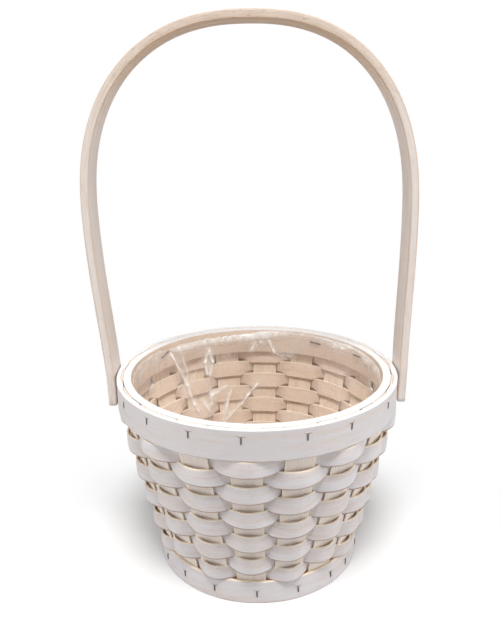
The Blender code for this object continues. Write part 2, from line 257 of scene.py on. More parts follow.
def around(angle, radius, height):
    """Points at an angle from the front, a radius and a height: (r sin a, -r cos a, height)."""
    parts = np.broadcast_arrays(radius * np.sin(angle), -radius * np.cos(angle), height)
    return np.stack(parts, axis=-1)


def waver(where, seed, slowest=2, count=6):
    """A smooth seeded wave in about -1 to 1: a sum of sines with whole numbers of swings a turn."""
    draw = np.random.default_rng(seed)
    swings = np.arange(slowest, slowest + count)
    phases = draw.uniform(0, 2 * math.pi, count)
    weights = draw.uniform(0.5, 1.0, count) / np.sqrt(swings)
    where = np.asarray(where, float)
    return np.sin(where[..., None] * swings + phases) @ weights / weights.sum()


def smooth(value):
    """0 below 0, 1 above 1, and the smooth step 3x^2 - 2x^3 between."""
    value = np.clip(value, 0, 1)
    return value * value * (3 - 2 * value)


def apart(first, second, period=2 * math.pi):
    """How far first is past second on a circle of the given period, from minus half of it to half."""
    return (first - second + period / 2) % period - period / 2


def outline(width, thickness, easing, rows=5, sides=0, corner=3):
    """A strip's cross-section with eased corners, as across, depth, edge distance and inwardness.

    Half of it is the outer face, with a row close to each corner, a quarter circle of the easing
    radius, a side, and another quarter circle. The other half is the same turned by half a turn.
    The edge distance of a strip that has rows on its sides is taken from its corners, and
    otherwise from its thin edges.
    """
    reach = width / 2 - easing
    deep = thickness / 2 - easing
    last = reach - 0.4 * easing
    face = np.linspace(-reach, reach, rows + 2)[1:-1]
    face = np.concatenate([[-last], face, [last]])
    bend = np.linspace(0, math.pi / 2, corner + 1)
    sine, cosine = easing * np.sin(bend), easing * np.cos(bend)
    side = np.linspace(deep, -deep, sides + 2)[1:-1]
    across = [face, reach + sine, np.full(sides, width / 2), reach + cosine]
    depth = [np.full(len(face), thickness / 2), deep + cosine, side, -deep - sine]
    across = np.concatenate(across + [-part for part in across])
    depth = np.concatenate(depth + [-part for part in depth])
    edge = np.maximum(width / 2 - np.abs(across), 0)
    if sides:
        edge = np.hypot(edge, thickness / 2 - np.abs(depth))
    return across, depth, edge, 0.5 - depth / thickness


def strip(middle, along, section, easing, slant=0.0, step=1e-3):
    """The skin of a bent strip, as stations by corners by 3.

    middle(s, a) gives the strip's middle surface at a place s along it and a across it. A corner
    of the section lies at middle + depth * normal, with the normal from the cross product of the
    surface's two slopes. They are differences, over a step along the strip and a nudge across it.
    The ends shrink by the easing, and slant turns them through the depth.
    """
    nudge = 1e-4
    across, depth, _, _ = section
    width, thickness = np.ptp(across), np.ptp(depth)
    s = along[:, None] + slant * (depth / thickness + 0.5)
    a = np.broadcast_to(across, s.shape).copy()
    d = np.broadcast_to(depth, s.shape).copy()
    for end in (0, -1):
        a[end] *= 1 - 2 * easing / width
        d[end] *= 1 - 2 * easing / thickness
    ahead = middle(s + step, a) - middle(s - step, a)
    aside = middle(s, a + nudge) - middle(s, a - nudge)
    normal = np.cross(ahead, aside)
    normal /= np.linalg.norm(normal, axis=-1, keepdims=True)
    return middle(s, a) + normal * d[..., None]


def eased_ends(start, end, count, easing):
    """Places along an open strip, with one more at each end an easing further out."""
    return np.concatenate([[start], np.linspace(start + easing, end - easing, count), [end]])


def grain(along, section, scale, seed):
    """Grain coordinates of a strip in metres: along, across and into it, shifted by its seed."""
    across, depth, _, _ = section
    shift = GRAIN_SHIFT * seed
    parts = np.broadcast_arrays(along[:, None] * scale + shift, across + shift, depth)
    return np.stack(parts, axis=-1)


def strip_marks(along, section, scale, seed):
    """A strip's attributes at each station and corner.

    They are its grain coordinates, its distance to the edges that show raw wood, its distance to a
    foot that is painted dark as shade and as dark cut wood, which is a metre where there is none, and
    its inwardness, from 0 to 1.
    """
    shape = (len(along), len(section[0]))
    return {
        "grain": grain(along, section, scale, seed),
        "to_edge": np.broadcast_to(section[2], shape),
        "to_foot": np.ones(shape),
        "inside": np.broadcast_to(section[3], shape),
    }


def skin_faces(stations, corners, capped=True):
    """Quads between neighbouring stations, and a flat cap at each end unless it is left open."""
    row = np.arange(corners)
    here = np.arange(stations - 1)[:, None] * corners + row
    ahead = here + corners
    sides = np.stack([here, np.roll(here, -1, 1), np.roll(ahead, -1, 1), ahead], axis=-1)
    caps = [row.tolist(), (row + (stations - 1) * corners).tolist()] if capped else []
    return sides.reshape(-1, 4).tolist() + caps


def add_mesh(name, points, faces, finish=None, marks=None):
    """An object with its attributes set, smooth sides, and flat caps of more than four corners."""
    mesh = bpy.data.meshes.new(name)
    mesh.from_pydata(points.reshape(-1, 3).tolist(), [], faces)
    for key, values in (marks or {}).items():
        vector = values.shape[-1] == 3
        layer = mesh.attributes.new(key, "FLOAT_VECTOR" if vector else "FLOAT", "POINT")
        layer.data.foreach_set("vector" if vector else "value", np.ascontiguousarray(values).ravel())
    mesh.polygons.foreach_set("use_smooth", [len(face) < 5 for face in faces])
    if finish:
        mesh.materials.append(finish)
    piece = bpy.data.objects.new(name, mesh)
    bpy.context.scene.collection.objects.link(piece)
    return piece


def reworked(piece, change):
    """A piece after a change to its mesh by a bmesh operator."""
    shape = bmesh.new()
    shape.from_mesh(piece.data)
    change(shape)
    shape.to_mesh(piece.data)
    shape.free()
    return piece


def turn_outwards(piece):
    """Turns the faces of a closed piece outwards."""
    return reworked(piece, lambda shape: bmesh.ops.recalc_face_normals(shape, faces=shape.faces))


def add_strip(name, points, marks, finish):
    """A bent strip's closed piece, from its skin's stations and corners."""
    return turn_outwards(add_mesh(name, points, skin_faces(*points.shape[:2]), finish, marks))


def cut(piece, cutter):
    """Takes the cutter's volume out of the piece for good."""
    modifier = piece.modifiers.new("cut", "BOOLEAN")
    modifier.operation = "DIFFERENCE"
    modifier.solver = "EXACT"
    modifier.object = cutter
    depsgraph = bpy.context.evaluated_depsgraph_get()
    mesh = bpy.data.meshes.new_from_object(piece.evaluated_get(depsgraph))
    piece.modifiers.clear()
    old = piece.data
    piece.data = mesh
    bpy.data.meshes.remove(old)
    bpy.data.objects.remove(cutter)
    mesh.name = piece.name


def place(piece, body, slot, *replaced):
    """Ties a piece to its body, in place of the solids it stands for; its slot is not used."""
    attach(piece, body)
    if replaced:
        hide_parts(*replaced)
    return piece


def full_turn(count):
    """Angles that go once round in even steps."""
    return np.linspace(0, 2 * math.pi, count, endpoint=False)


def pin_cutter(near, far, height, radius):
    """A round cutter along X between two places, at a height."""
    turns = full_turn(48)
    y, z = radius * np.cos(turns), height + radius * np.sin(turns)
    points = np.stack([np.stack([np.full_like(y, x), y, z], axis=-1) for x in (near, far)])
    return turn_outwards(add_mesh("cutter", points, skin_faces(2, len(turns))))


def wires(angles, radius, height, crown, leg, tilt, sizes, facing=1.0):
    """Staples round the basket, as one skin each: a flat wire with two legs and rounded bends.

    In the staple's own plane the wire's middle goes in along one leg, turns by a quarter circle,
    runs along the crown, and goes back. The section is a flat octagon. Each staple is turned by
    its tilt about the outward direction, and then carried to its angle, radius and height. Its
    crown is on the outside where facing is 1, and on the inside where it is -1.
    """
    bend, shoulder, proud = 0.0009, 0.0006, 0.7 * sizes.staple_thickness
    half = crown / 2
    turns = np.linspace(0, math.pi / 2, 6)
    out = np.concatenate([[-leg, -shoulder], proud - bend + bend * np.sin(turns)])
    up = np.concatenate([[half, half], half - bend + bend * np.cos(turns)])
    out, up = np.concatenate([out, out[::-1]]), np.concatenate([up, -up[::-1]])
    ahead = np.stack([np.gradient(out), np.gradient(up)], axis=1)
    ahead /= np.linalg.norm(ahead, axis=1, keepdims=True)
    corners = [(1, 0.5), (0.5, 0.85), (-0.5, 0.85), (-1, 0.5)]
    octagon = np.array(corners + [(-deep, -side) for deep, side in corners])
    deep = octagon[:, 0] * sizes.staple_thickness / 2
    side = octagon[:, 1] * sizes.staple_wire / 2 / octagon[:, 1].max()
    out = out[:, None] - ahead[:, 1:] * deep
    up = up[:, None] + ahead[:, :1] * deep
    side = np.broadcast_to(side, out.shape)
    angles, height, tilt = (np.asarray(value)[..., None, None] for value in (angles, height, tilt))
    aside = side * np.cos(tilt) + up * np.sin(tilt)
    climb = up * np.cos(tilt) - side * np.sin(tilt)
    return around(angles + aside / radius, radius + facing * out, height + climb)


def add_wires(name, skins, finish):
    """One piece of several staples."""
    count, stations, corners = skins.shape[:3]
    sides = np.array(skin_faces(stations, corners, capped=False))
    caps = np.arange(corners) + np.array([[0], [(stations - 1) * corners]])
    shift = np.arange(count)[:, None, None] * stations * corners
    faces = (sides + shift).reshape(-1, 4).tolist() + (caps + shift).reshape(-1, corners).tolist()
    return turn_outwards(add_mesh(name, skins, faces, finish))


# Materials

# Painted shade: a brown line at the feet of the weavers and the outer hoop, where shadow falls under an
# edge, partly dark cut wood. It also darkens the slits inside the weave.
FOOT_SHADE_AND_DARK_CUT = tone(150, 112, 84)
# Dark wood of the staples' splits, also painted as shade in the dents beside them.
SPLIT_WOOD_AND_DENT_SHADE = tone(92, 66, 48)
RUST = tone(70, 48, 36)


def feed(tree, node, inputs):
    """Sets each of a node's inputs to a value, or links it from a socket."""
    for key, value in inputs.items():
        if isinstance(value, bpy.types.NodeSocket):
            tree.links.new(value, node.inputs[key])
        else:
            node.inputs[key].default_value = value


def add(tree, kind, inputs=None, **settings):
    """A node with its settings and its inputs."""
    node = tree.nodes.new(kind)
    for key, value in settings.items():
        setattr(node, key, value)
    feed(tree, node, inputs or {})
    return node


def work(tree, operation, first, second=0.0, clamp=False):
    """The result of a Math node."""
    node = add(tree, "ShaderNodeMath", {0: first, 1: second}, operation=operation, use_clamp=clamp)
    return node.outputs[0]


def plus(tree, first, second, clamp=False):
    """The sum of two values, kept from 0 to 1 if it is clamped."""
    return work(tree, "ADD", first, second, clamp)


def minus(tree, first, second):
    """The first value less the second."""
    return work(tree, "SUBTRACT", first, second)


def times(tree, first, second):
    """The product of two values."""
    return work(tree, "MULTIPLY", first, second)


def spread(tree, value, low, high, to_low=0.0, to_high=1.0, eased=False):
    """A value's place between low and high, as a value between to_low and to_high."""
    kind = "SMOOTHSTEP" if eased else "LINEAR"
    inputs = {"Value": value, "From Min": low, "From Max": high, "To Min": to_low, "To Max": to_high}
    return add(tree, "ShaderNodeMapRange", inputs, interpolation_type=kind).outputs[0]


def between(tree, share, low, high):
    """A share from 0 to 1, as a value between low and high."""
    return spread(tree, share, 0, 1, low, high)


def mixed(tree, share, first, second):
    """Two colours mixed by a share."""
    return add(tree, "ShaderNodeMix", {0: share, 6: first, 7: second}, data_type="RGBA").outputs[2]


def scaled(tree, shade, factor):
    """A colour made lighter or darker by a factor."""
    node = add(tree, "ShaderNodeVectorMath", {0: shade, "Scale": factor}, operation="SCALE")
    return node.outputs[0]


def speckle(tree, where, stretch, detail=2.0, roughness=0.5):
    """Noise over coordinates that are first multiplied by a stretch, in spots per metre."""
    inputs = {0: where, 1: stretch}
    vector = add(tree, "ShaderNodeVectorMath", inputs, operation="MULTIPLY").outputs[0]
    inputs = {"Vector": vector, "Scale": 1.0, "Detail": detail, "Roughness": roughness}
    return add(tree, "ShaderNodeTexNoise", inputs).outputs[0]


def bumped(tree, height, distance, strength):
    """The normal of a surface in relief."""
    inputs = {"Height": height, "Distance": distance, "Strength": strength}
    return add(tree, "ShaderNodeBump", inputs).outputs["Normal"]


def new_group(name, inputs, outputs):
    """An empty shader node group, the sockets of its input node, and its output node."""
    tree = bpy.data.node_groups.new(name, "ShaderNodeTree")
    for in_out, sockets in (("INPUT", inputs), ("OUTPUT", outputs)):
        for label, kind in sockets:
            tree.interface.new_socket(name=label, in_out=in_out, socket_type=f"NodeSocket{kind}")
    return tree, add(tree, "NodeGroupInput").outputs, add(tree, "NodeGroupOutput")


def grain_group():
    """Chip wood grain: broad bands, fine fibres and short pores, all long and thin."""
    outputs = [("Bands", "Float"), ("Fibres", "Float"), ("Pores", "Float")]
    tree, given, result = new_group("Chip grain", [("Grain", "Vector")], outputs)
    bands = speckle(tree, given["Grain"], (11, 190, 190), 3.0, 0.6)
    fibres = speckle(tree, given["Grain"], (55, 1900, 1900), 3.0, 0.65)
    pores = speckle(tree, given["Grain"], (260, 1500, 1500), 1.0)
    feed(tree, result, {
        "Bands": spread(tree, bands, 0.3, 0.7),
        "Fibres": spread(tree, fibres, 0.28, 0.72),
        "Pores": spread(tree, pores, 0.66, 0.76),
    })
    return tree


def nail_split(tree, from_nail, fibres):
    """Where a staple has split the wood's outside, and the painted shade of its dent, from 0 to 1.

    The slit leaves the wire above its middle, climbs as it runs sideways, and narrows to nothing
    at its end. The fibres make it ragged. The dent lies close beside the wire, and is as tall; its
    darkness is painted shade.
    """
    wire, slit_start, climb, slit_end, slit_width = 0.0003, 0.0020, 0.3, 0.0032, 0.0006
    dent_end, dent_height, dent_top = 0.0008, 0.0022, 0.0028
    sideways, up, outward = add(tree, "ShaderNodeSeparateXYZ", {0: from_nail}).outputs
    line = plus(tree, times(tree, sideways, climb), slit_start)
    ragged = plus(tree, minus(tree, up, line), between(tree, fibres, -0.00035, 0.00035))
    length_left = spread(tree, sideways, wire, slit_end, 1.0, 0.0)
    half_width = times(tree, length_left, slit_width)
    slit = spread(tree, work(tree, "ABSOLUTE", ragged), 0.0, half_width, 0.9, 0.0)
    slit = times(tree, slit, work(tree, "GREATER_THAN", length_left, 0.02))
    # Painted shade in the dent beside the wire.
    beside = spread(tree, work(tree, "ABSOLUTE", up), dent_height, dent_top, 1.0, 0.0)
    dent_shade = times(tree, spread(tree, sideways, wire, dent_end, 0.5, 0.0), beside)
    split_and_dent_shade = work(tree, "MAXIMUM", slit, dent_shade)
    return times(tree, split_and_dent_shade, work(tree, "GREATER_THAN", outward, 0.9))


def limewash_group(chip_grain):
    """Whitewash over wood: thin and streaky along the grain, worn off towards the cut edges.

    The wash covers the wood by its cover plus a share of the bands and fibres. The raw edge shows
    where the distance to the edge is under the edge width, which the bands make ragged, and a
    strip's foot is darkened in the same way, as painted shade under its edge and partly as dark cut
    wood. Pores show most where the wash is thin, dark splits run from the staples, and the dents
    beside them are painted shade.
    """
    inputs = [
        ("Wood", "Color"), ("Inner Wood", "Color"), ("Wash", "Color"), ("Raw Edge", "Color"),
        ("Cover", "Float"), ("Inner Cover", "Float"), ("Edge Width", "Float"),
        ("Grain", "Vector"), ("To Edge", "Float"), ("To Foot", "Float"), ("Inside", "Float"),
        ("From Nail", "Vector"), ("Foot Shade And Dark Cut", "Color"),
    ]
    outputs = [("Color", "Color"), ("Roughness", "Float"), ("Height", "Float")]
    tree, given, result = new_group("Limewash", inputs, outputs)
    chips = add(tree, "ShaderNodeGroup", {"Grain": given["Grain"]}, node_tree=chip_grain)
    bands, fibres, pores = chips.outputs
    wood = mixed(tree, given["Inside"], given["Wood"], given["Inner Wood"])
    shade = times(tree, between(tree, fibres, 0.86, 1.08), between(tree, bands, 0.90, 1.08))
    wood = scaled(tree, wood, shade)
    cover = times(tree, given["Inner Cover"], given["Inside"])
    cover = plus(tree, cover, times(tree, given["Cover"], minus(tree, 1.0, given["Inside"])))
    patchy = plus(tree, between(tree, bands, -0.22, 0.22), between(tree, fibres, -0.18, 0.18))
    cover = plus(tree, cover, patchy, clamp=True)
    wash = scaled(tree, given["Wash"], between(tree, fibres, 0.955, 1.025))
    surface = mixed(tree, cover, wood, wash)
    ragged = times(tree, given["Edge Width"], between(tree, bands, 0.5, 1.5))
    raw = spread(tree, given["To Edge"], 0.0, ragged, 1.0, 0.0, eased=True)
    raw_tone = scaled(tree, given["Raw Edge"], between(tree, fibres, 0.86, 1.06))
    surface = mixed(tree, raw, surface, raw_tone)
    # Painted shade along a strip's foot, partly dark cut wood.
    foot_shade_reach = times(tree, ragged, 0.8)
    foot_shade_and_cut = spread(tree, given["To Foot"], 0.0001, foot_shade_reach, 0.85, 0.0, eased=True)
    surface = mixed(tree, foot_shade_and_cut, surface, given["Foot Shade And Dark Cut"])
    pitted = times(tree, times(tree, pores, minus(tree, 1.15, cover)), 0.45)
    surface = scaled(tree, surface, minus(tree, 1.0, pitted))
    split_and_dent_shade = nail_split(tree, given["From Nail"], fibres)
    surface = mixed(tree, split_and_dent_shade, surface, (*SPLIT_WOOD_AND_DENT_SHADE, 1.0))
    height = plus(tree, times(tree, fibres, 0.6), times(tree, bands, 0.4))
    height = minus(tree, height, times(tree, pores, 0.5))
    height = minus(tree, height, times(tree, split_and_dent_shade, 1.5))
    roughness = between(tree, fibres, 0.60, 0.82)
    feed(tree, result, {"Color": surface, "Roughness": roughness, "Height": height})
    return tree


def new_material(name):
    """A material, its node tree and its Principled shader."""
    material = bpy.data.materials.new(name)
    material.use_nodes = True
    tree = material.node_tree
    return material, tree, tree.nodes["Principled BSDF"]


def mark(tree, name, output="Fac"):
    """The value of a mesh attribute."""
    return add(tree, "ShaderNodeAttribute", attribute_name=name).outputs[output]


def object_place(tree):
    """The shaded point in its object's own coordinates."""
    return add(tree, "ShaderNodeTexCoord").outputs["Object"]


def shared_group(name, make, *parts):
    """A node group, made the first time that it is asked for."""
    return bpy.data.node_groups.get(name) or make(*parts)


def limed(name, woods, wash, covers, raw_edge, edge_width, relief=0.00022, board=False, nailed=False):
    """Whitewashed wood: the limewash group on a strip's own grain, or on a board's coordinates.

    The two woods, and the two covers of the wash over them, are the outside's and the inside's.
    The colour of the raw edge shows over the edge width, and the relief is the grain's depth. A
    board has no marks, so it is all outside and far from any edge. Only a nailed strip has splits,
    with painted shade in the dents beside them.
    """
    material, tree, shader = new_material(name)
    limewash = shared_group("Limewash", limewash_group, shared_group("Chip grain", grain_group))
    if board:
        where = object_place(tree)
        to_edge, to_foot, inside = 1.0, 1.0, 0.0
    else:
        where = mark(tree, "grain", "Vector")
        to_edge, to_foot, inside = [mark(tree, key) for key in ("to_edge", "to_foot", "inside")]
    from_nail = mark(tree, "from_nail", "Vector") if nailed else (1.0, 1.0, 0.0)
    inputs = {
        "Wood": (*woods[0], 1.0), "Inner Wood": (*woods[1], 1.0), "Wash": (*wash, 1.0),
        "Raw Edge": (*raw_edge, 1.0), "Foot Shade And Dark Cut": (*FOOT_SHADE_AND_DARK_CUT, 1.0), "Cover": covers[0],
        "Inner Cover": covers[1], "Edge Width": edge_width, "Grain": where,
        "To Edge": to_edge, "To Foot": to_foot, "Inside": inside, "From Nail": from_nail,
    }
    finish = add(tree, "ShaderNodeGroup", inputs, node_tree=limewash).outputs
    feed(tree, shader, {
        "Base Color": finish["Color"],
        "Roughness": finish["Roughness"],
        "Normal": bumped(tree, finish["Height"], relief, 0.7),
        "Specular IOR Level": 0.3,
    })
    return material


def metal(name, shade, roughness, rust):
    """Dull metal: darker blotches over the plain colour, and fine drawing lines in the relief."""
    material, tree, shader = new_material(name)
    where = object_place(tree)
    blotch = spread(tree, speckle(tree, where, (900, 900, 900), 3.0, 0.6), 0.35, 0.7)
    scratch = speckle(tree, where, (4000, 4000, 700), 1.0)
    feed(tree, shader, {
        "Base Color": mixed(tree, times(tree, blotch, rust), (*shade, 1.0), (*RUST, 1.0)),
        "Roughness": between(tree, blotch, roughness, roughness + 0.25),
        "Normal": bumped(tree, scratch, 0.00004, 0.5),
        "Metallic": 0.9,
    })
    return material


class PieceOperator:
    """What the basket's operators share: undo, and the sizes and colours that they are given."""

    bl_options = {"REGISTER", "UNDO"}

    def given(self, context):
        """The scene's sizes and colours, and the wall that follows from the sizes."""
        sizes = context.scene.basket_sizes
        return sizes, context.scene.basket_colours, Wall(sizes)


class BASKET_OT_stage(PieceOperator, bpy.types.Operator):
    """Set the floor, the soft studio light and the camera"""

    bl_idname = "basket.stage"
    bl_label = "Stage"

    LAMPS = (
        ("key lamp", (0.02, -0.86, 2.36), 0.8, 51.0),
        ("right lamp", (1.7, -0.4, 0.55), 0.9, 13.0),
        ("left lamp", (-1.7, -0.4, 0.55), 0.9, 11.0),
    )
    LAMP_TARGET = (0.0, 0.0, 0.12)
    CAMERA_PLACE = (-0.0047, -0.4951, 0.3505)
    CAMERA_TIP = 0.291
    CAMERA_ROLL = 0.014
    CAMERA_LENS = 38.27

    def execute(self, context):
        scene = context.scene
        scene.view_settings.view_transform = "Standard"
        self.floor()
        self.world(scene)
        for lamp in self.LAMPS:
            self.lamp(*lamp)
        self.camera(scene)
        return {"FINISHED"}

    def seen_rays(self, tree):
        """1 for camera, glossy and transmission rays, and 0 for the rays that light the object."""
        rays = add(tree, "ShaderNodeLightPath").outputs
        seen = work(tree, "MAXIMUM", rays["Is Camera Ray"], rays["Is Glossy Ray"])
        return work(tree, "MAXIMUM", seen, rays["Is Transmission Ray"])

    def floor(self):
        """A flat square, whose seen colour fades to white away from the basket."""
        half, drop = 4.0, -0.0002
        bounced, seen, fade_from, fade_to = 0.56, 0.92, 0.09, 0.25
        corners = [(-half, -half, drop), (half, -half, drop), (half, half, drop), (-half, half, drop)]
        mesh = bpy.data.meshes.new("floor")
        mesh.from_pydata(corners, [], [(0, 1, 2, 3)])
        material, tree, shader = new_material("pale floor")
        camera_ray = add(tree, "ShaderNodeLightPath").outputs["Is Camera Ray"]
        grey = between(tree, camera_ray, bounced, seen)
        feed(tree, shader, {"Base Color": grey, "Roughness": 0.9, "Specular IOR Level": 0.0})
        from_middle = add(tree, "ShaderNodeVectorMath", {0: object_place(tree)}, operation="LENGTH")
        far = spread(tree, from_middle.outputs["Value"], fade_from, fade_to, eased=True)
        share = times(tree, far, self.seen_rays(tree))
        white = add(tree, "ShaderNodeEmission", {"Strength": 1.0})
        mix = add(tree, "ShaderNodeMixShader", {0: share, 1: shader.outputs[0], 2: white.outputs[0]})
        feed(tree, tree.nodes["Material Output"], {"Surface": mix.outputs[0]})
        mesh.materials.append(material)
        floor = bpy.data.objects.new("floor", mesh)
        bpy.context.scene.collection.objects.link(floor)

    def world(self, scene):
        """A soft grey sky that looks white."""
        lit, seen = 0.27, 1.0
        world = bpy.data.worlds.new("soft sky")
        world.use_nodes = True
        tree = world.node_tree
        strength = between(tree, self.seen_rays(tree), lit, seen)
        feed(tree, tree.nodes["Background"], {"Color": (1.0, 1.0, 1.0, 1.0), "Strength": strength})
        scene.world = world

    def lamp(self, name, place, size, power):
        """A square area lamp that points at the middle of the basket."""
        data = bpy.data.lights.new(name, "AREA")
        data.size = size
        data.energy = power
        lamp = bpy.data.objects.new(name, data)
        aim = Vector(place) - Vector(self.LAMP_TARGET)
        lamp.location = place
        lamp.rotation_euler = aim.to_track_quat("Z", "Y").to_euler()
        bpy.context.scene.collection.objects.link(lamp)

    def camera(self, scene):
        """A camera a little above the rim, tipped down to the basket and turned a trace."""
        data = bpy.data.cameras.new("camera")
        data.sensor_width = 36.0
        data.lens = self.CAMERA_LENS
        data.clip_start = 0.01
        camera = bpy.data.objects.new("camera", data)
        tip = Matrix.Rotation(math.pi / 2 - self.CAMERA_TIP, 4, "X")
        roll = Matrix.Rotation(-self.CAMERA_ROLL, 4, "Z")
        camera.matrix_world = Matrix.Translation(self.CAMERA_PLACE) @ tip @ roll
        scene.collection.objects.link(camera)
        scene.camera = camera


class BASKET_OT_weavers(PieceOperator, bpy.types.Operator):
    """Weave the ten rows of strips round the stakes"""

    bl_idname = "basket.weavers"
    bl_label = "Weavers"

    STATIONS_A_STAKE = 26
    END_EASING = 0.0025

    # Angles of the lap: how far each end passes its stake, where the last end starts to sink
    # inwards, and over how far it does so. Then the gap between the two ends.
    LAP = 0.07
    LAP_SINKS_BEFORE = 0.06
    LAP_SINKS_OVER = 0.05
    LAP_GAP = 0.00005

    # How far an edge reaches over its neighbour beyond the overlap, and from where, in pitches.
    OVERLAP_INSIDE = 0.0016
    OVERLAP_OUTSIDE = 0.0011
    OVERLAP_FROM = 0.38
    OVERLAP_FADE = 0.16

    # Unevenness of the edges and, as a share, of the bulge. Then how round a strip is across.
    EDGE_RIPPLE = 0.0002
    BULGE_RIPPLE = 0.06
    ROUNDING = 0.00035

    # Added to the bottom edge's distance, so that it shows no raw wood. Then the height of the painted
    # shade of the slits, and how far it reaches from the middle of a stake and fades, in pitches.
    HIDDEN_EDGE = 0.002
    SLIT_SHADE_HEIGHT = 0.0031
    SLIT_SHADE_REACH = 0.66
    SLIT_SHADE_FADE = 0.24

    def execute(self, context):
        sizes, shades, wall = self.given(context)
        woods = (shades.wood, shades.lightened_inner_wood)
        finish = limed("weaver limewash", woods, shades.wash, (0.86, 0.20), shades.raw_edge, 0.0014)
        section = outline(wall.row_pitch - sizes.fit_gap, sizes.strip, STRIP_EASING)
        for row in range(sizes.row_count):
            start = self.start(wall, row)
            end = start + 2 * math.pi + 2 * self.LAP
            stations = sizes.stake_count * self.STATIONS_A_STAKE
            along = eased_ends(start, end, stations, self.END_EASING)
            points = strip(self.middle(sizes, wall, row), along, section, STRIP_EASING)
            marks = self.marks(sizes, wall, row, along, section)
            piece = add_strip(f"weaver_strip_{row + 1:02}", points, marks, finish)
            place(piece, "basket", "weaver_wood", f"weaver_{row + 1:02}")
        return {"FINISHED"}

    def marks(self, sizes, wall, row, along, section):
        """A weaver's attributes.

        Raw wood shows at its top edge, and not at its bottom edge. Its foot has a line of painted
        shade, which on its inside reaches higher near the stakes that it passes in front of, as painted
        shade of a slit down to the next row.
        """
        marks = strip_marks(along, section, sizes.rim_radius, row)
        marks["to_edge"] = marks["to_edge"] + np.where(section[0] < 0, self.HIDDEN_EDGE, 0.0)
        away, _, _ = wall.weave(along, row, wall.rim_bottom)
        # Painted shade inside the weave near the stakes, where a slit would be in shadow.
        slit = smooth((self.SLIT_SHADE_REACH - away) / self.SLIT_SHADE_FADE) * (row < sizes.row_count - 1)
        from_foot = section[0] + np.ptp(section[0]) / 2
        marks["to_foot"] = from_foot - self.SLIT_SHADE_HEIGHT * slit[:, None] * (section[3] > 0.5)
        return marks

    def start(self, wall, row):
        """Where a row starts: behind a stake near the front, a different one for each row."""
        behind = (-3, 1, -1, 3) if row % 2 == 0 else (-4, 2, 0, -2, 4)
        return wall.stake_angle(behind[row // 2 % len(behind)]) - self.LAP

    def middle(self, sizes, wall, row):
        """Middle surface of a weaver.

        It arches out over each second stake, by a bulge that grows from its top edge to its bottom
        edge, and lies in behind the others by the inner bulge. Between stakes it leans like a
        shingle, out at the bottom edge and in at the top. Its edges overlap its neighbours, the
        bottom edge more where it is outside the stakes and the top edge more where it is inside.
        The last stretch of the strip laps inside its start by its thickness.
        """
        width = wall.row_pitch - sizes.fit_gap
        centre = wall.rim_bottom - sizes.fit_gap - row * wall.row_pitch - width / 2
        lap_from = self.start(wall, row) + 2 * math.pi - self.LAP_SINKS_BEFORE
        room_above = 0.0 if row == 0 else 1.0
        room_below = 0.0 if row == sizes.row_count - 1 else 1.0

        def surface(angle, across):
            share = np.clip(across / width + 0.5, 0, 1)
            away, arch, free = wall.weave(angle, row, centre + across)
            inside = smooth((away - self.OVERLAP_FROM) / self.OVERLAP_FADE)
            outside = smooth((1 - self.OVERLAP_FROM - away) / self.OVERLAP_FADE)
            rise = (sizes.weaver_overlap + self.OVERLAP_INSIDE * inside) * share * room_above
            drop = (sizes.weaver_overlap + self.OVERLAP_OUTSIDE * outside) * (1 - share) * room_below
            height = centre + across + rise - drop
            ripple = self.EDGE_RIPPLE * waver(angle, 40 + row, 3, 9)
            height = height + ripple * room_above * room_below
            outward = sizes.bulge_bottom + (sizes.bulge_top - sizes.bulge_bottom) * share
            outward = outward * (1 + self.BULGE_RIPPLE * waver(angle, 60 + row, 4, 10))
            swing = (outward + sizes.bulge_in) * arch - sizes.bulge_in
            swing = swing + sizes.weaver_lean * (0.5 - share) * free
            swing = swing + self.ROUNDING * (1 - (2 * share - 1) ** 2) * arch
            lap = smooth((angle - lap_from) / self.LAP_SINKS_OVER) * (sizes.strip + self.LAP_GAP)
            return around(angle, wall.radius(height) + swing - lap, height)

        return surface


class BASKET_OT_stakes(PieceOperator, bpy.types.Operator):
    """Stand the eighteen upright strips in the wall"""

    bl_idname = "basket.stakes"
    bl_label = "Stakes"

    STATIONS = 64
    END_EASING = 0.0003
    STEP = 0.0002
    TOP_GAP = 0.0002
    DRIFT = 0.00025

    def execute(self, context):
        sizes, shades, wall = self.given(context)
        # The stakes' woods are painted lighter, for the shade of the windows and of the inside.
        woods = (shades.lightened_window_wood, shades.lightened_inner_wood)
        finish = limed("stake limewash", woods, shades.wash, (0.42, 0.16), shades.raw_edge, 0.0016)
        section = outline(sizes.stake_width, sizes.strip, STRIP_EASING, rows=9)
        along = eased_ends(0.0, sizes.height - self.TOP_GAP, self.STATIONS, self.END_EASING)
        for index in range(sizes.stake_count):
            points = strip(self.middle(wall, index), along, section, STRIP_EASING, step=self.STEP)
            marks = strip_marks(along, section, 1.0, 20 + index)
            piece = add_strip(f"stake_strip_{index + 1:02}", points, marks, finish)
            place(piece, "basket", "stake_wood", f"stake_{index + 1:02}")
        return {"FINISHED"}

    def middle(self, wall, index):
        """Middle surface of a stake: the wall's radius, at the stake's angle less across / radius.

        A slow wave up the stake lets it drift sideways a little.
        """
        angle = wall.stake_angle(index)

        def surface(height, across):
            radius = wall.radius(height)
            drift = self.DRIFT * waver(height * 30, 90 + index, 1, 4)
            return around(angle - (across + drift) / radius, radius, height)

        return surface


class Hoop(NamedTuple):
    """What sets a hoop apart: its names, its middle radius and height, its sizes and its ends.

    Its nails are the angles and the height of the staples in it, where it has any.
    """

    name: str
    node: str
    radius: float
    centre: float
    width: float
    thickness: float
    joint: float
    scarf: float
    nails: tuple | None


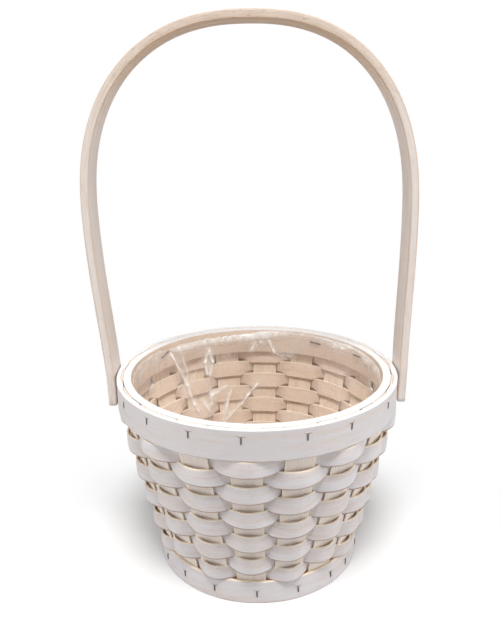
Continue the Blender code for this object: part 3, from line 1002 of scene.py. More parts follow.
class BASKET_OT_hoops(PieceOperator, bpy.types.Operator):
    """Bend the two rim hoops and the bottom band"""

    bl_idname = "basket.hoops"
    bl_label = "Hoops and band"

    STATIONS = 300
    EASING = 0.0006
    END_EASING = 0.004
    END_GAP = 0.003

    # How far the outer hoop sinks in between stakes, from how far beside one, and over how far.
    SUNK = 0.0012
    SUNK_FROM = 0.0004
    SUNK_OVER = 0.0016

    # How far a hoop's radius and height waver, and the height over which that grows.
    RADIUS_WAVER = 0.00010
    HEIGHT_WAVER = 0.00008
    WAVER_OVER = 0.018

    # Places of the added stations on each side of a staple.
    BESIDE_NAIL = (0.0009, 0.002, 0.0045)

    def execute(self, context):
        sizes, shades, wall = self.given(context)
        woods = (shades.wood, shades.lightened_inner_wood)
        # The rim's top takes a near-white colour, partly painted light from above.
        rim = limed(
            "rim limewash", woods, shades.rim_wash, (0.95, 0.35), shades.rim_top_wash_and_light, 0.0007, nailed=True
        )
        band = limed(
            "band limewash", woods, shades.wash, (0.88, 0.2), shades.raw_edge, 0.0008, nailed=True
        )
        finishes = ((rim, "rim_wood"), (rim, "rim_wood"), (band, "band_wood"))
        for number, (hoop, (finish, slot)) in enumerate(zip(self.hoops(sizes, wall), finishes)):
            piece = self.add_hoop(sizes, wall, number, hoop, finish)
            place(piece, "basket", slot, hoop.node)
        return {"FINISHED"}

    def hoops(self, sizes, wall):
        """The outer and the inner hoop of the rim, and the bottom band."""
        hoop_height, band_height = sizes.hoop_height, sizes.band_height
        top, foot = sizes.height - hoop_height / 2, band_height / 2
        outer = wall.outer_hoop_inner + sizes.outer_hoop / 2
        inner = wall.inner_hoop_inner + sizes.inner_hoop / 2
        band = wall.band_inner + sizes.band / 2
        rim_nails = (wall.nails(sizes.rim_strays), sizes.height - sizes.staple_drop)
        band_nails = (wall.nails(sizes.band_strays), BAND_STAPLE_HEIGHT)
        return (
            Hoop(
                "outer_hoop", "outer_rim_hoop", outer, top, hoop_height, sizes.outer_hoop,
                joint=sizes.outer_joint, scarf=0.0, nails=rim_nails,
            ),
            Hoop(
                "inner_hoop", "inner_rim_hoop", inner, top, hoop_height, sizes.inner_hoop,
                joint=sizes.inner_joint, scarf=sizes.inner_scarf, nails=None,
            ),
            Hoop(
                "foot_band", "bottom_band", band, foot, band_height, sizes.band,
                joint=sizes.band_joint, scarf=0.0, nails=band_nails,
            ),
        )

    def add_hoop(self, sizes, wall, number, hoop, finish):
        """A hoop's piece, with raw wood at its top edge only.

        Only the last fifth of its thickness counts as inside. The outer hoop has painted shade at its
        foot, partly dark cut wood, and sinks in between the stakes.
        """
        section = outline(hoop.width, hoop.thickness, self.EASING, rows=11, sides=3, corner=4)
        start = hoop.joint + self.END_GAP
        end = start + 2 * math.pi - 2 * self.END_GAP
        along = eased_ends(start, end, self.STATIONS, self.END_EASING)
        if hoop.nails:
            along = self.with_nails(along, hoop.nails[0], hoop.radius)
        middle = self.middle(hoop.radius, hoop.centre, number)
        points = strip(middle, along, section, self.EASING, slant=hoop.scarf)
        marks = strip_marks(along, section, hoop.radius, 50 + number)
        shape = marks["inside"].shape
        marks["inside"] = np.clip(marks["inside"] * 5 - 4, 0, 1)
        marks["to_edge"] = np.broadcast_to(np.maximum(hoop.width / 2 - section[0], 0), shape)
        if hoop.name == "outer_hoop":
            # Painted shade at the outer hoop's foot.
            marks["to_foot"] = np.broadcast_to(section[0] + hoop.width / 2, shape)
            points = self.settled(points, along, section, sizes, wall)
        if hoop.nails:
            marks["from_nail"] = self.from_nail(points, along, section, hoop.radius, *hoop.nails)
        return add_strip(hoop.name, points, marks, finish)

    def settled(self, points, along, section, sizes, wall):
        """The outer hoop with its inner face sunk in between the stakes, where nothing backs it.

        It sinks by a smooth step of the distance from a stake, times how far inside a point is.
        """
        pitch = 2 * math.pi / sizes.stake_count
        aside = np.abs(apart(along, sizes.first_stake, pitch)) * wall.stake_rim
        free = smooth((aside - sizes.stake_width / 2 - self.SUNK_FROM) / self.SUNK_OVER)
        sunk = self.SUNK * free[:, None] * np.clip(section[3], 0, 1)
        return points * (1 - (sunk / sizes.rim_radius)[..., None] * np.array([1.0, 1.0, 0.0]))

    def with_nails(self, along, nails, radius):
        """The stations with more of them round each staple, and one right at it."""
        beside = np.array(self.BESIDE_NAIL)
        near = np.concatenate([-beside[::-1], [0.0], beside]) / radius
        extra = (nails[:, None] + near).ravel()
        extra = np.concatenate([extra + turns * 2 * math.pi for turns in (-1, 0, 1, 2)])
        inner = extra[(extra > along[1]) & (extra < along[-2])]
        return np.unique(np.concatenate([along, inner]))

    def from_nail(self, points, along, section, radius, nails, nail_height):
        """Sideways distance to the nearest staple, height from its middle, and outwardness."""
        height = points[..., 2] - nail_height
        aside = np.abs(apart(along[:, None], nails)).min(axis=1)[:, None] * radius
        parts = np.broadcast_arrays(aside, height, 1 - section[3])
        return np.stack(parts, axis=-1)

    def middle(self, radius, centre, number):
        """Middle surface of a hoop: an upright ring whose radius and height waver by a hair.

        The height wavers less close to the ground, and not at all at the ground.
        """

        def surface(angle, across):
            radial = radius + self.RADIUS_WAVER * waver(angle, 7 + number, 3, 8)
            free = np.clip((centre + across) / self.WAVER_OVER, 0, 1)
            height = centre + across + self.HEIGHT_WAVER * waver(angle, 17 + number, 5, 20) * free
            return around(angle, radial, height)

        return surface


class BASKET_OT_base(PieceOperator, bpy.types.Operator):
    """Finish the base disc as a bare board"""

    bl_idname = "basket.base"
    bl_label = "Base board"

    def execute(self, context):
        _, shades, _ = self.given(context)
        woods = (shades.board, shades.board)
        finish = limed("base board", woods, shades.wash, (0.0, 0.0), shades.raw_edge, 0.0, board=True)
        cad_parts["base_disc"].material_slots[0].material = finish
        return {"FINISHED"}


class BASKET_OT_handle(PieceOperator, bpy.types.Operator):
    """Bend the handle and drill it for its screws"""

    bl_idname = "basket.handle"
    bl_label = "Handle"

    STATIONS = 260
    EASING = 0.0011
    END_EASING = 0.0007
    STEP = 0.0015

    # Power of the crown's superellipse, and the height of half a wave of the lean.
    CROWN_POWER = 2.35
    LEAN_HEIGHT = 0.37

    # Where the wash wears off, above the rim, and where the screw holes run, from the rim's radius.
    WORN_ABOVE = 0.17
    WORN_FADE = 0.08
    HOLE_REACH = (-0.002, 0.012)

    def execute(self, context):
        sizes, shades, _ = self.given(context)
        woods = (shades.wood, shades.worn_wood)
        finish = limed(
            "handle limewash", woods, shades.handle_wash, (0.90, 0.12), shades.worn_wood, 0.0015,
            relief=0.0003,
        )
        line = self.line(sizes)
        reach = np.concatenate([[0], np.cumsum(np.linalg.norm(np.diff(line, axis=0), axis=1))])
        width, thickness = sizes.handle_width, sizes.handle_thickness
        section = outline(width, thickness, self.EASING, rows=9, sides=5, corner=5)
        along = eased_ends(0.0, reach[-1], self.STATIONS, self.END_EASING)
        points = strip(self.middle(line, reach), along, section, self.END_EASING, step=self.STEP)
        marks = strip_marks(along, section, 1.0, 71)
        worn = smooth((points[..., 2] - sizes.height - self.WORN_ABOVE) / self.WORN_FADE)
        marks["inside"] = worn * (0.25 + 0.75 * section[3])
        piece = add_strip("handle_loop", points, marks, finish)
        hole = sizes.screw_shank + sizes.fit_gap
        for side in (-1, 1):
            near, far = [side * (sizes.rim_radius + reach) for reach in self.HOLE_REACH]
            cut(piece, pin_cutter(near, far, sizes.height - sizes.pivot_drop, hole))
        place(piece, "handle", "handle_wood", "handle")
        return {"FINISHED"}

    def middle(self, line, reach):
        """Middle surface of the handle: its line carried along Y, and straight down past its feet."""

        def surface(s, across):
            x = np.interp(s, reach, line[:, 0])
            z = np.interp(s, reach, line[:, 1]) - np.abs(s - np.clip(s, 0, reach[-1]))
            return np.stack(np.broadcast_arrays(x, across, z), axis=-1)

        return surface

    def line(self, sizes):
        """The loop's middle line as x and z, from the left foot over the crown to the right foot.

        Each leg swells out from its foot by half a cosine wave, the crown is the upper half of a
        superellipse, and the whole loop leans left by a sine of its height.
        """
        foot = sizes.rim_radius + sizes.running_gap + sizes.handle_thickness / 2
        half_span = foot + sizes.handle_swell
        leg = np.linspace(-sizes.handle_foot, sizes.handle_widest, 400)[:-1]
        rise = sizes.handle_widest + sizes.handle_foot
        share = (1 - np.cos(math.pi * (leg + sizes.handle_foot) / rise)) / 2
        leg_x = foot + sizes.handle_swell * share
        bow = np.linspace(math.pi, 0, 1600)
        power = 2 / self.CROWN_POWER
        crown_x = half_span * np.sign(np.cos(bow)) * np.abs(np.cos(bow)) ** power
        crown_rise = sizes.handle_crown - sizes.handle_widest
        crown_z = sizes.handle_widest + crown_rise * np.abs(np.sin(bow)) ** power
        x = np.concatenate([-leg_x, crown_x, leg_x[::-1]])
        z = np.concatenate([leg, crown_z, leg[::-1]])
        x = x - sizes.handle_lean * np.sin(math.pi * np.maximum(z, 0) / self.LEAN_HEIGHT)
        return np.stack([x, z + sizes.height], axis=1)


class BASKET_OT_staples(PieceOperator, bpy.types.Operator):
    """Drive the staples into the rim, the band and the film's edge"""

    bl_idname = "basket.staples"
    bl_label = "Staples"

    # How much shorter the crowns are in the rim and the band than the sizes say.
    RIM_SHORT = 0.0006
    BAND_SHORT = 0.0004

    # Mean and spread of their tilts in degrees.
    RIM_TILT = (5, 3)
    BAND_TILT = (0, 5)

    # Depth of the band staples' legs and unevenness of their heights, and the film staples' sizes.
    BAND_LEG = 0.006
    BAND_SCATTER = 0.0004
    FILM_CROWN = 0.0100
    FILM_LEG = 0.0045

    def execute(self, context):
        sizes, shades, wall = self.given(context)
        finish = metal("staple wire", shades.steel, 0.38, 0.6)
        nodes = [f"rim_staple_{index + 1:02}" for index in range(sizes.stake_count)]
        draw = np.random.default_rng(5)
        rim = add_wires("rim_staple_wires", self.rim_skins(sizes, wall, draw), finish)
        place(rim, "basket", "staple_steel", *nodes)
        band = add_wires("band_staple_wires", self.band_skins(sizes, wall, draw), finish)
        place(band, "basket", "staple_steel")
        film = add_wires("film_staple_wires", self.film_skins(sizes, wall), finish)
        place(film, "basket", "staple_steel")
        return {"FINISHED"}

    def rim_skins(self, sizes, wall, draw):
        """Upright staples in the outer hoop, one at each stake, most of them tilted one way."""
        angles = wall.nails(sizes.rim_strays)
        tilt = np.radians(draw.normal(*self.RIM_TILT, sizes.stake_count))
        height, crown = sizes.height - sizes.staple_drop, sizes.staple_crown - self.RIM_SHORT
        return wires(angles, sizes.rim_radius, height, crown, sizes.staple_leg, tilt, sizes)

    def band_skins(self, sizes, wall, draw):
        """Upright staples in the band, one at each stake, tilted either way."""
        angles = wall.nails(sizes.band_strays)
        tilt = np.radians(draw.normal(*self.BAND_TILT, sizes.stake_count))
        heights = BAND_STAPLE_HEIGHT + draw.normal(0, self.BAND_SCATTER, sizes.stake_count)
        crown = sizes.staple_crown - self.BAND_SHORT
        return wires(angles, sizes.base_radius, heights, crown, self.BAND_LEG, tilt, sizes)

    def film_skins(self, sizes, wall):
        """Level staples that hold the film to the inner hoop, with their crowns inside."""
        angles, tilt, stray, _ = np.array(FILM_STAPLES).T
        angles, tilt = np.radians(angles), np.radians(tilt)
        heights = sizes.height - FILM_STAPLE_DROP + stray
        radius = wall.inner_hoop_inner - wall.film_off_hoop
        crown, leg = self.FILM_CROWN, self.FILM_LEG
        return wires(angles, radius, heights, crown, leg, tilt, sizes, facing=-1.0)


class BASKET_OT_screws(PieceOperator, bpy.types.Operator):
    """Drive the two screws that the handle turns on"""

    bl_idname = "basket.screws"
    bl_label = "Handle screws"

    # Height of the head's upright edge, and the two steps that ease it in towards the seat.
    HEAD_EDGE = 0.0003
    EDGE_STEPS = (0.0001, 0.0003)
    STEP_HEIGHT = 0.00005

    # How far the tip is inside the outer hoop, and the length and end radius of the point.
    TIP_INSIDE = 0.004
    POINT = 0.0015
    POINT_RADIUS = 0.0004

    # Where the slot's floor is, as a share of the head's height, and the slot's half sizes and turn.
    SLOT_FLOOR = 0.55
    SLOT_REACH = 0.006
    SLOT_HALF = 0.0005
    SLOT_TURN = 0.35

    def execute(self, context):
        sizes, shades, _ = self.given(context)
        finish = metal("screw plating", shades.screw, 0.30, 0.35)
        for side, name in ((-1, "left"), (1, "right")):
            piece = turn_outwards(add_mesh(f"screw_{name}", *self.skin(sizes, side), finish))
            cut(piece, self.slot_cutter(sizes, side))
            place(piece, "basket", "screw_steel", f"handle_screw_{name}")
        return {"FINISHED"}

    def head_seat(self, sizes):
        """Where a screw's head bears on the handle, as a distance from the basket's middle."""
        return sizes.rim_radius + sizes.running_gap + sizes.handle_thickness + sizes.fit_gap

    def skin(self, sizes, side):
        """A screw lathed about X: a domed head, a plain shank, and a short point.

        The dome is a quarter ellipse, above a low upright edge.
        """
        seat, edge = self.head_seat(sizes), self.HEAD_EDGE
        head, shank = sizes.screw_head, sizes.screw_shank
        tip = sizes.rim_radius - sizes.outer_hoop - self.TIP_INSIDE
        bend = np.linspace(0, math.pi / 2, 10)[1:-1]
        dome_x = seat + edge + (sizes.screw_height - edge) * np.cos(bend)
        under_x = [seat + edge, seat + self.STEP_HEIGHT, seat, seat, tip + self.POINT, tip]
        steps = [head - step for step in self.EDGE_STEPS]
        under_r = [head, *steps, shank, shank, self.POINT_RADIUS]
        x = np.concatenate([dome_x, under_x])[:, None]
        r = np.concatenate([head * np.sin(bend), under_r])[:, None]
        turns = full_turn(40)
        z = sizes.height - sizes.pivot_drop + r * np.sin(turns)
        points = np.stack(np.broadcast_arrays(side * x, r * np.cos(turns), z), axis=-1)
        return points, skin_faces(len(x), len(turns))

    def slot_cutter(self, sizes, side):
        """A thin box through the top of a screw's head, a little off level."""
        corners = np.array([(x, y, z) for x in (0, 1) for y in (-1, 1) for z in (-1, 1)], float)
        x = side * (self.head_seat(sizes) + sizes.screw_height * (self.SLOT_FLOOR + corners[:, 0]))
        y, z = corners[:, 1] * self.SLOT_REACH, corners[:, 2] * self.SLOT_HALF
        sine, cosine = math.sin(self.SLOT_TURN * side), math.cos(self.SLOT_TURN * side)
        height = sizes.height - sizes.pivot_drop
        points = np.stack([x, y * cosine - z * sine, y * sine + z * cosine + height], axis=-1)
        faces = [(0, 1, 3, 2), (4, 6, 7, 5), (0, 4, 5, 1), (2, 3, 7, 6), (0, 2, 6, 4), (1, 5, 7, 3)]
        return turn_outwards(add_mesh("cutter", points, faces))


class BASKET_OT_film(PieceOperator, bpy.types.Operator):
    """Push the clear film down into the basket and gather its edge"""

    bl_idname = "basket.film"
    bl_label = "Film liner"

    # How far the film's edge rises above its lowest places, by angle in degrees.
    EDGE_RISE = (
        (60, 0), (90, 0.0040), (125, 0.0052), (160, 0.0052), (182, 0.0006),
        (226, 0), (240, 0.0042), (285, 0.0042), (320, 0),
    )

    # How full its rolled edge is, by angle in degrees.
    FULLNESS = ((60, 0.0), (95, 0.45), (158, 0.45), (172, 1.0), (226, 1.0), (234, 0.0))

    # Strength of each fold, and its corners as an angle in degrees and a height.
    FOLDS = (
        (1.0, (231, 0.146), (222, 0.111), (219, 0.092), (217, 0.085)),
        (1.0, (207, 0.140), (209.5, 0.129), (208.5, 0.117)),
        (0.9, (207, 0.140), (205, 0.128), (207, 0.115)),
        (1.0, (177, 0.150), (183, 0.134)),
        (1.0, (174.5, 0.149), (169.5, 0.132)),
        (0.5, (169.5, 0.132), (162, 0.126)),
        (0.9, (178.5, 0.149), (176.9, 0.1405)),
        (0.4, (165, 0.1306), (159.7, 0.1294)),
        (0.5, (137, 0.149), (129, 0.147)),
        (0.8, (127.5, 0.1457), (121.5, 0.1478)),
        (0.6, (224, 0.139), (221, 0.124), (222, 0.108)),
        (0.4, (207, 0.115), (209, 0.086)),
        (0.9, (197, 0.103), (207, 0.097), (208, 0.088)),
        (1.0, (213, 0.093), (210, 0.082)),
        (0.9, (195, 0.098), (202, 0.072)),
        (1.0, (179, 0.103), (185, 0.093), (189, 0.085), (201, 0.070)),
        (0.5, (212, 0.129), (218, 0.112)),
        (0.6, (181, 0.134), (179, 0.140)),
        (0.15, (140, 0.140), (133, 0.112), (136, 0.090)),
        (0.5, (66, 0.142), (74, 0.110), (70, 0.070)),
        (0.6, (20, 0.140), (28, 0.100), (24, 0.060)),
        (0.6, (330, 0.138), (322, 0.105), (326, 0.064)),
        (0.5, (288, 0.144), (296, 0.118), (290, 0.080)),
    )

    # Strength, angle in degrees, height, half width and half height of each veil of haze and painted
    # sheen.
    HAZE_AND_SHEEN_VEILS = (
        (1.2, 207.2, 0.129, 0.0032, 0.0100),
        (0.7, 224.0, 0.120, 0.0060, 0.0200),
        (0.6, 196.0, 0.132, 0.0080, 0.0090),
        (0.8, 177.0, 0.143, 0.0060, 0.0070),
        (0.6, 212.0, 0.090, 0.0120, 0.0100),
        (1.0, 198.5, 0.082, 0.0040, 0.0080),
        (0.9, 206.0, 0.096, 0.0045, 0.0050),
        (0.6, 160.0, 0.131, 0.0060, 0.0040),
        (0.8, 256.0, 0.142, 0.0300, 0.0060),
        (0.7, 128.0, 0.149, 0.0260, 0.0060),
        (0.8, 105.0, 0.148, 0.0160, 0.0060),
        (1.2, 101.0, 0.127, 0.0050, 0.0070),
        (1.2, 248.0, 0.125, 0.0040, 0.0050),
        (0.6, 88.0, 0.140, 0.0100, 0.0100),
    )

    # Rows of points in the rolled edge, and the radius at which angles on the wall are lengths.
    ROLL_ROWS = 17
    WALL_RADIUS = 0.094

    # How far the edge wavers, and the height from which its rise grows and over how much.
    EDGE_WAVER = 0.0008
    EDGE_FROM = 0.10
    EDGE_OVER = 0.045

    # Gap under the floor, the run over which its crumples grow, and how wide a staple pins.
    FLOOR_GAP = 0.0006
    CRUMPLES_OVER = 0.06
    PINNED_WIDTH = 0.006

    def execute(self, context):
        sizes, shades, wall = self.given(context)
        front, back_left, end = math.radians(-105), math.radians(100), math.radians(255)
        angles = np.concatenate([
            np.linspace(front, back_left, 260, endpoint=False),
            np.linspace(back_left, end, 420, endpoint=False),
        ])
        radius, height, reach = self.profile(sizes, wall)
        inward = np.stack([-np.gradient(height, reach), np.gradient(radius, reach)])[..., None]
        theta, s = np.meshgrid(angles, reach)
        r, z, s, inward = self.with_roll(radius, height, s, inward, theta)
        theta = np.broadcast_to(angles, r.shape)
        lift, crease_highlight, haze_and_sheen = self.wrinkles(sizes, theta, s, z)
        rise = self.EDGE_WAVER * waver(theta, 31, 1, 5) + self.by_angle(theta, self.EDGE_RISE)
        rise = rise * np.clip((z - self.EDGE_FROM) / self.EDGE_OVER, 0, 1) ** 2
        points = around(theta, r + inward[0] * lift, z + inward[1] * lift + rise)
        points[0] = (0.0, 0.0, points[0, :, 2].mean())
        marks = {"crease_highlight": crease_highlight[..., None], "haze_and_sheen": haze_and_sheen[..., None]}
        faces = skin_faces(*r.shape, capped=False)
        piece = add_mesh("film_liner", points, faces, self.clear_film(shades), marks)
        reworked(piece, lambda shape: bmesh.ops.remove_doubles(shape, verts=shape.verts, dist=1e-7))
        place(piece, "basket", "film", "liner")
        return {"FINISHED"}

    def by_angle(self, angles, table):
        """A table's values all round, straight between its angles in degrees."""
        return np.interp(np.degrees(angles) % 360, *zip(*table))

    def profile(self, sizes, wall):
        """The film's side view, as radius, height and length along it.

        It is a flat floor, a quarter circle up to the wall, and the wall. The rows are evenly
        spaced over each of three stretches: the floor, the corner with the low wall, and the rest.
        """
        floor_points, low_wall_end = 60, 120
        floor = sizes.disc_height + self.FLOOR_GAP
        bend = sizes.film_corner
        foot = wall.film(floor + bend)
        arc = np.linspace(0, math.pi / 2, 16)[1:]
        climb = np.linspace(floor + bend, sizes.film_top, 200)[1:]
        across = np.linspace(0, foot - bend, floor_points)
        r = np.concatenate([across, foot - bend + bend * np.sin(arc), wall.film(climb)])
        z = np.concatenate([np.full_like(across, floor), floor + bend - bend * np.cos(arc), climb])
        run = np.concatenate([[0], np.cumsum(np.hypot(np.diff(r), np.diff(z)))])
        first, second = run[floor_points - 1], run[low_wall_end]
        reach = np.concatenate([
            np.linspace(0, first, 14, endpoint=False),
            np.linspace(first, second, 18, endpoint=False),
            np.linspace(second, run[-1], 98),
        ])
        return np.interp(reach, run, r), np.interp(reach, run, z), reach

    def fullness(self, angles):
        """How full the film's rolled edge is: most at the back left, least at the front."""
        least = 0.28 + 0.18 * waver(angles, 12, 3, 6)
        return np.maximum(self.by_angle(angles, self.FULLNESS), least)

    def with_roll(self, radius, height, s, inward, theta):
        """The profile all round, with its top edge rolled inwards.

        The roll is most of an ellipse. It is fullest at the back left, and it shrinks to nothing
        where a staple pins the film.
        """
        roll_width, roll_height, roll_run, pinched = 0.0028, 0.0048, 0.003, 3.5
        angles = theta[0]
        bunch = self.fullness(angles) * (1 + 0.16 * waver(angles, 14, 7, 9))
        for angle, _, _, pinch in FILM_STAPLES:
            off = apart(np.degrees(angles), angle, 360)
            bunch = bunch * (1 - pinch * np.exp(-((off / pinched) ** 2)))
        curl = np.linspace(0, math.pi * 1.6, self.ROLL_ROWS + 1)[1:, None]
        roll_r = radius[-1] - roll_width * bunch * (1 - np.cos(curl))
        roll_z = height[-1] + roll_height * bunch * np.sin(curl)
        r = np.concatenate([np.broadcast_to(radius[:, None], theta.shape), roll_r])
        z = np.concatenate([np.broadcast_to(height[:, None], theta.shape), roll_z])
        s = np.concatenate([s, s[-1] + roll_run * np.broadcast_to(curl, roll_r.shape)])
        inward = np.concatenate([inward, np.stack([-np.cos(curl), -np.sin(curl)])], axis=1)
        return r, z, s, inward

    def wrinkles(self, sizes, theta, s, height):
        """How far the film stands in from its smooth shape, and its marks of painted crease highlights
        and of haze with painted sheen.

        The film lies smooth at the middle of its floor and at its staples. Creases get painted
        highlights, and haze is where the film is seen as a whitish veil, partly its own milkiness and
        partly painted sheen on lit facets, which fades out from its middle as a bell curve. The rolled
        edge has few creases of the wall's, and fine gathers of its own: a sine of the angle whose pace
        wavers.
        """
        draw = np.random.default_rng(17)
        film = np.zeros((3, *s.shape))
        lift, crease_highlight, haze_and_sheen = film
        self.add_crumples(film, draw, theta, s)
        film *= np.clip(s / self.CRUMPLES_OVER, 0, 1) ** 2
        self.add_pleats(film, draw, theta, np.maximum(sizes.film_top - height, 0))
        self.add_folds(film, theta, height)
        top, edge_width = s[-self.ROLL_ROWS - 1], 0.004
        edge = np.clip((s - top + edge_width) / edge_width, 0, 1)
        film[:2] *= 1 - 0.8 * edge
        for strength, angle, z, wide, high in self.HAZE_AND_SHEEN_VEILS:
            x = apart(theta, math.radians(angle)) * self.WALL_RADIUS
            haze_and_sheen += strength * np.exp(-((x / wide) ** 2) - ((height - z) / high) ** 2)
        bunch = edge * self.fullness(theta)
        gather = np.sin(theta * 44 + 4 * np.sin(theta * 9) + 1.2 * np.sin(theta * 23 + s / 0.004))
        lift += bunch * (0.0006 + 0.0004 * gather)
        crease_highlight = np.clip(crease_highlight + bunch * np.clip(gather, 0, 1) ** 4 * 0.5, 0, 1)
        haze_and_sheen = np.clip(haze_and_sheen + 1.15 * bunch, 0, 2)
        return lift * self.freedom(sizes, theta, height), crease_highlight, haze_and_sheen

    def add_crumples(self, film, draw, theta, s):
        """Crumples of two sizes: cones round scattered tips, 1 - distance / size.

        Where two cones meet, the film has a crease with a painted highlight. Each cone has a haze of
        its own, which is painted sheen of a facet turned more or less to the light.
        """
        lift, crease_highlight, haze_and_sheen = film
        radius, far_off = 0.090, 9.0
        across, girth = theta * radius, 2 * math.pi * radius
        for count, size, rise, sharp in ((90, 0.020, 0.0023, 0.13), (220, 0.011, 0.0010, 0.05)):
            tips_x, tips_y = draw.uniform(0, girth, count), draw.uniform(0, s.max(), count)
            first, second = np.full_like(s, far_off), np.full_like(s, far_off)
            owner = np.zeros(s.shape, int)
            for number, (x, y) in enumerate(zip(tips_x, tips_y)):
                far = np.hypot(apart(across, x, girth), (s - y) * 0.6)
                second = np.minimum(second, np.maximum(first, far))
                owner = np.where(far < first, number, owner)
                first = np.minimum(first, far)
            lift += rise * np.clip(1 - first / size, 0, 1)
            border = np.exp(-(((second - first) / (0.06 * size)) ** 2))
            crease_highlight += sharp * border * np.clip(waver(theta, 8, 3, 9) * 2 + np.sin(s / 0.011), 0, 1)
            haze_and_sheen += 0.35 * draw.uniform(0, 1, count)[owner] ** 3

    def add_pleats(self, film, draw, theta, below):
        """Pleats: tent-shaped ridges that start at the top edge, lean, and fade downwards."""
        lift, crease_highlight, _ = film
        radius, crease_width = 0.097, 0.0007
        for _ in range(54):
            angle, lean = draw.uniform(0, 2 * math.pi), draw.normal(0, 1.2)
            wide, long = draw.uniform(0.002, 0.004), draw.uniform(0.02, 0.075)
            rise, sharp = draw.uniform(0.0007, 0.0019), draw.uniform(0, 0.22)
            gap = np.abs(apart(theta - angle, lean * below)) * radius
            fade = np.clip(1 - below / long, 0, 1)
            lift += rise * np.clip(1 - gap / wide, 0, 1) * fade
            crease_highlight += sharp * np.clip(1 - gap / crease_width, 0, 1) * fade

    def add_folds(self, film, theta, height):
        """Folds: tent-shaped ridges along lines, with a broken painted highlight on the crease and a
        band of haze and painted sheen.
        """
        lift, crease_highlight, haze_and_sheen = film
        rise, ridge_width, crease_width, haze_width = 0.0014, 0.0026, 0.0009, 0.0042
        for strength, *corners in self.FOLDS:
            for start, end in zip(corners, corners[1:]):
                far = self.line_distance(theta, height, start, end)
                lift += rise * strength * np.clip(1 - far / ridge_width, 0, 1)
                beat = np.sin(height / 0.0031 + 3 * np.sin(height / 0.0073) + start[0])
                bright = 1.1 * strength * (0.75 + 0.25 * beat)
                np.maximum(crease_highlight, bright * np.exp(-((far / crease_width) ** 2)), out=crease_highlight)
                haze_and_sheen += 0.38 * strength * np.exp(-((far / haze_width) ** 2))

    def freedom(self, sizes, theta, height):
        """How free the film is, from 0 on a staple to 1 away from them all.

        It is 1 less a bell curve of the distance to a staple, which is a short level line.
        """
        free = np.ones_like(height)
        pinned = sizes.height - FILM_STAPLE_DROP
        for angle, _, _, _ in FILM_STAPLES:
            far = self.line_distance(theta, height, (angle - 3, pinned), (angle + 3, pinned))
            free = np.minimum(free, 1 - np.exp(-((far / self.PINNED_WIDTH) ** 2)))
        return free

    def line_distance(self, theta, height, start, end):
        """Distance on the film's wall to the line between two angles in degrees and heights."""
        x = apart(theta, math.radians(start[0])) * self.WALL_RADIUS
        y = height - start[1]
        to_x, to_y = math.radians(end[0] - start[0]) * self.WALL_RADIUS, end[1] - start[1]
        share = np.clip((x * to_x + y * to_y) / (to_x**2 + to_y**2), 0, 1)
        return np.hypot(x - share * to_x, y - share * to_y)

    def clear_film(self, shades):
        """Clear film: nearly unseen, with painted highlights along its creases and a painted reflection
        where it is seen at a slant.

        It covers what is behind it by a base, a share of the slant and shares of its two marks, and
        shadow rays mostly pass it. The sharpest creases glow a little, as a painted highlight.
        """
        material, tree, shader = new_material("clear film")
        crease_highlight = mark(tree, "crease_highlight")
        slant = add(tree, "ShaderNodeLayerWeight", {"Blend": 0.35}).outputs["Facing"]
        # Painted reflection: the film whitens where it is seen at a slant.
        veil_and_sheen = times(tree, work(tree, "POWER", slant, 2.5), 0.20)
        veil_and_sheen = plus(tree, veil_and_sheen, times(tree, mark(tree, "haze_and_sheen"), 0.34))
        cover = plus(tree, times(tree, crease_highlight, 0.68), plus(tree, veil_and_sheen, 0.05), clamp=True)
        shadow = add(tree, "ShaderNodeLightPath").outputs["Is Shadow Ray"]
        # Painted highlight: the sharpest creases glow a little.
        painted_glint = spread(tree, crease_highlight, 0.3, 1.0, 0.0, 0.35)
        ripple = speckle(tree, object_place(tree), (260, 260, 260), 2.0)
        tint = (*shades.film, 1.0)
        feed(tree, shader, {
            "Base Color": tint,
            "Alpha": times(tree, cover, between(tree, shadow, 1.0, 0.25)),
            "Metallic": spread(tree, crease_highlight, 0.55, 1.0, 0.0, 0.6),
            "Roughness": 0.24,
            "Emission Color": mixed(tree, painted_glint, (0.0, 0.0, 0.0, 1.0), tint),
            "Emission Strength": 1.0,
            "Normal": bumped(tree, ripple, 0.0003, 0.4),
        })
        return material


class BASKET_PT_panel(bpy.types.Panel):
    """Lists the basket's pieces, sizes and colours."""

    bl_label = "Chip-wood basket"
    bl_idname = "BASKET_PT_panel"
    bl_space_type = "VIEW_3D"
    bl_region_type = "UI"
    bl_category = "Basket"

    def draw(self, context):
        """Draws a button for each operator, and a field for each size and colour."""
        for operator in OPERATORS:
            self.layout.operator(operator.bl_idname)
        for group in (context.scene.basket_sizes, context.scene.basket_colours):
            box = self.layout.box()
            for key in group.__annotations__:
                box.prop(group, key)


OPERATORS = (
    BASKET_OT_stage,
    BASKET_OT_base,
    BASKET_OT_stakes,
    BASKET_OT_weavers,
    BASKET_OT_hoops,
    BASKET_OT_handle,
    BASKET_OT_screws,
    BASKET_OT_staples,
    BASKET_OT_film,
)
CLASSES = (BasketSizes, BasketColours, *OPERATORS, BASKET_PT_panel)


def register():
    """Adds the classes to Blender, and the sizes and colours to its scenes."""
    for item in CLASSES:
        bpy.utils.register_class(item)
    bpy.types.Scene.basket_sizes = PointerProperty(type=BasketSizes)
    bpy.types.Scene.basket_colours = PointerProperty(type=BasketColours)


def unregister():
    """Takes them away again."""
    del bpy.types.Scene.basket_colours
    del bpy.types.Scene.basket_sizes
    for item in reversed(CLASSES):
        bpy.utils.unregister_class(item)


def main():
    """Builds the whole basket in its scene."""
    register()
    bpy.ops.basket.stage()
    bpy.ops.basket.base()
    bpy.ops.basket.stakes()
    bpy.ops.basket.weavers()
    bpy.ops.basket.hoops()
    bpy.ops.basket.handle()
    bpy.ops.basket.screws()
    bpy.ops.basket.staples()
    bpy.ops.basket.film()


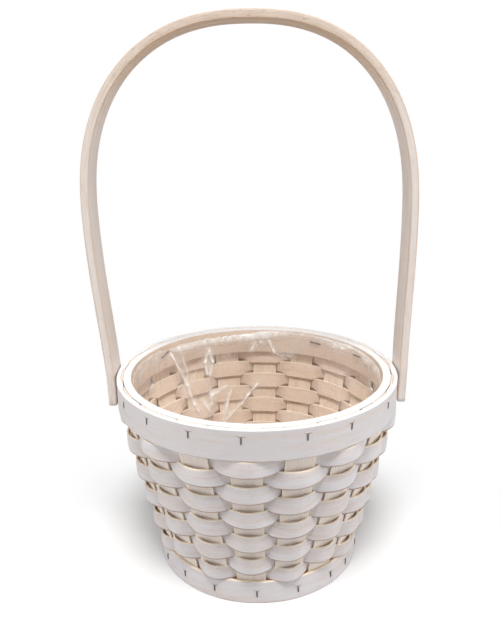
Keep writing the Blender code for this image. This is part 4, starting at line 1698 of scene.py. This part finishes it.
if __name__ == "__main__":
    main()
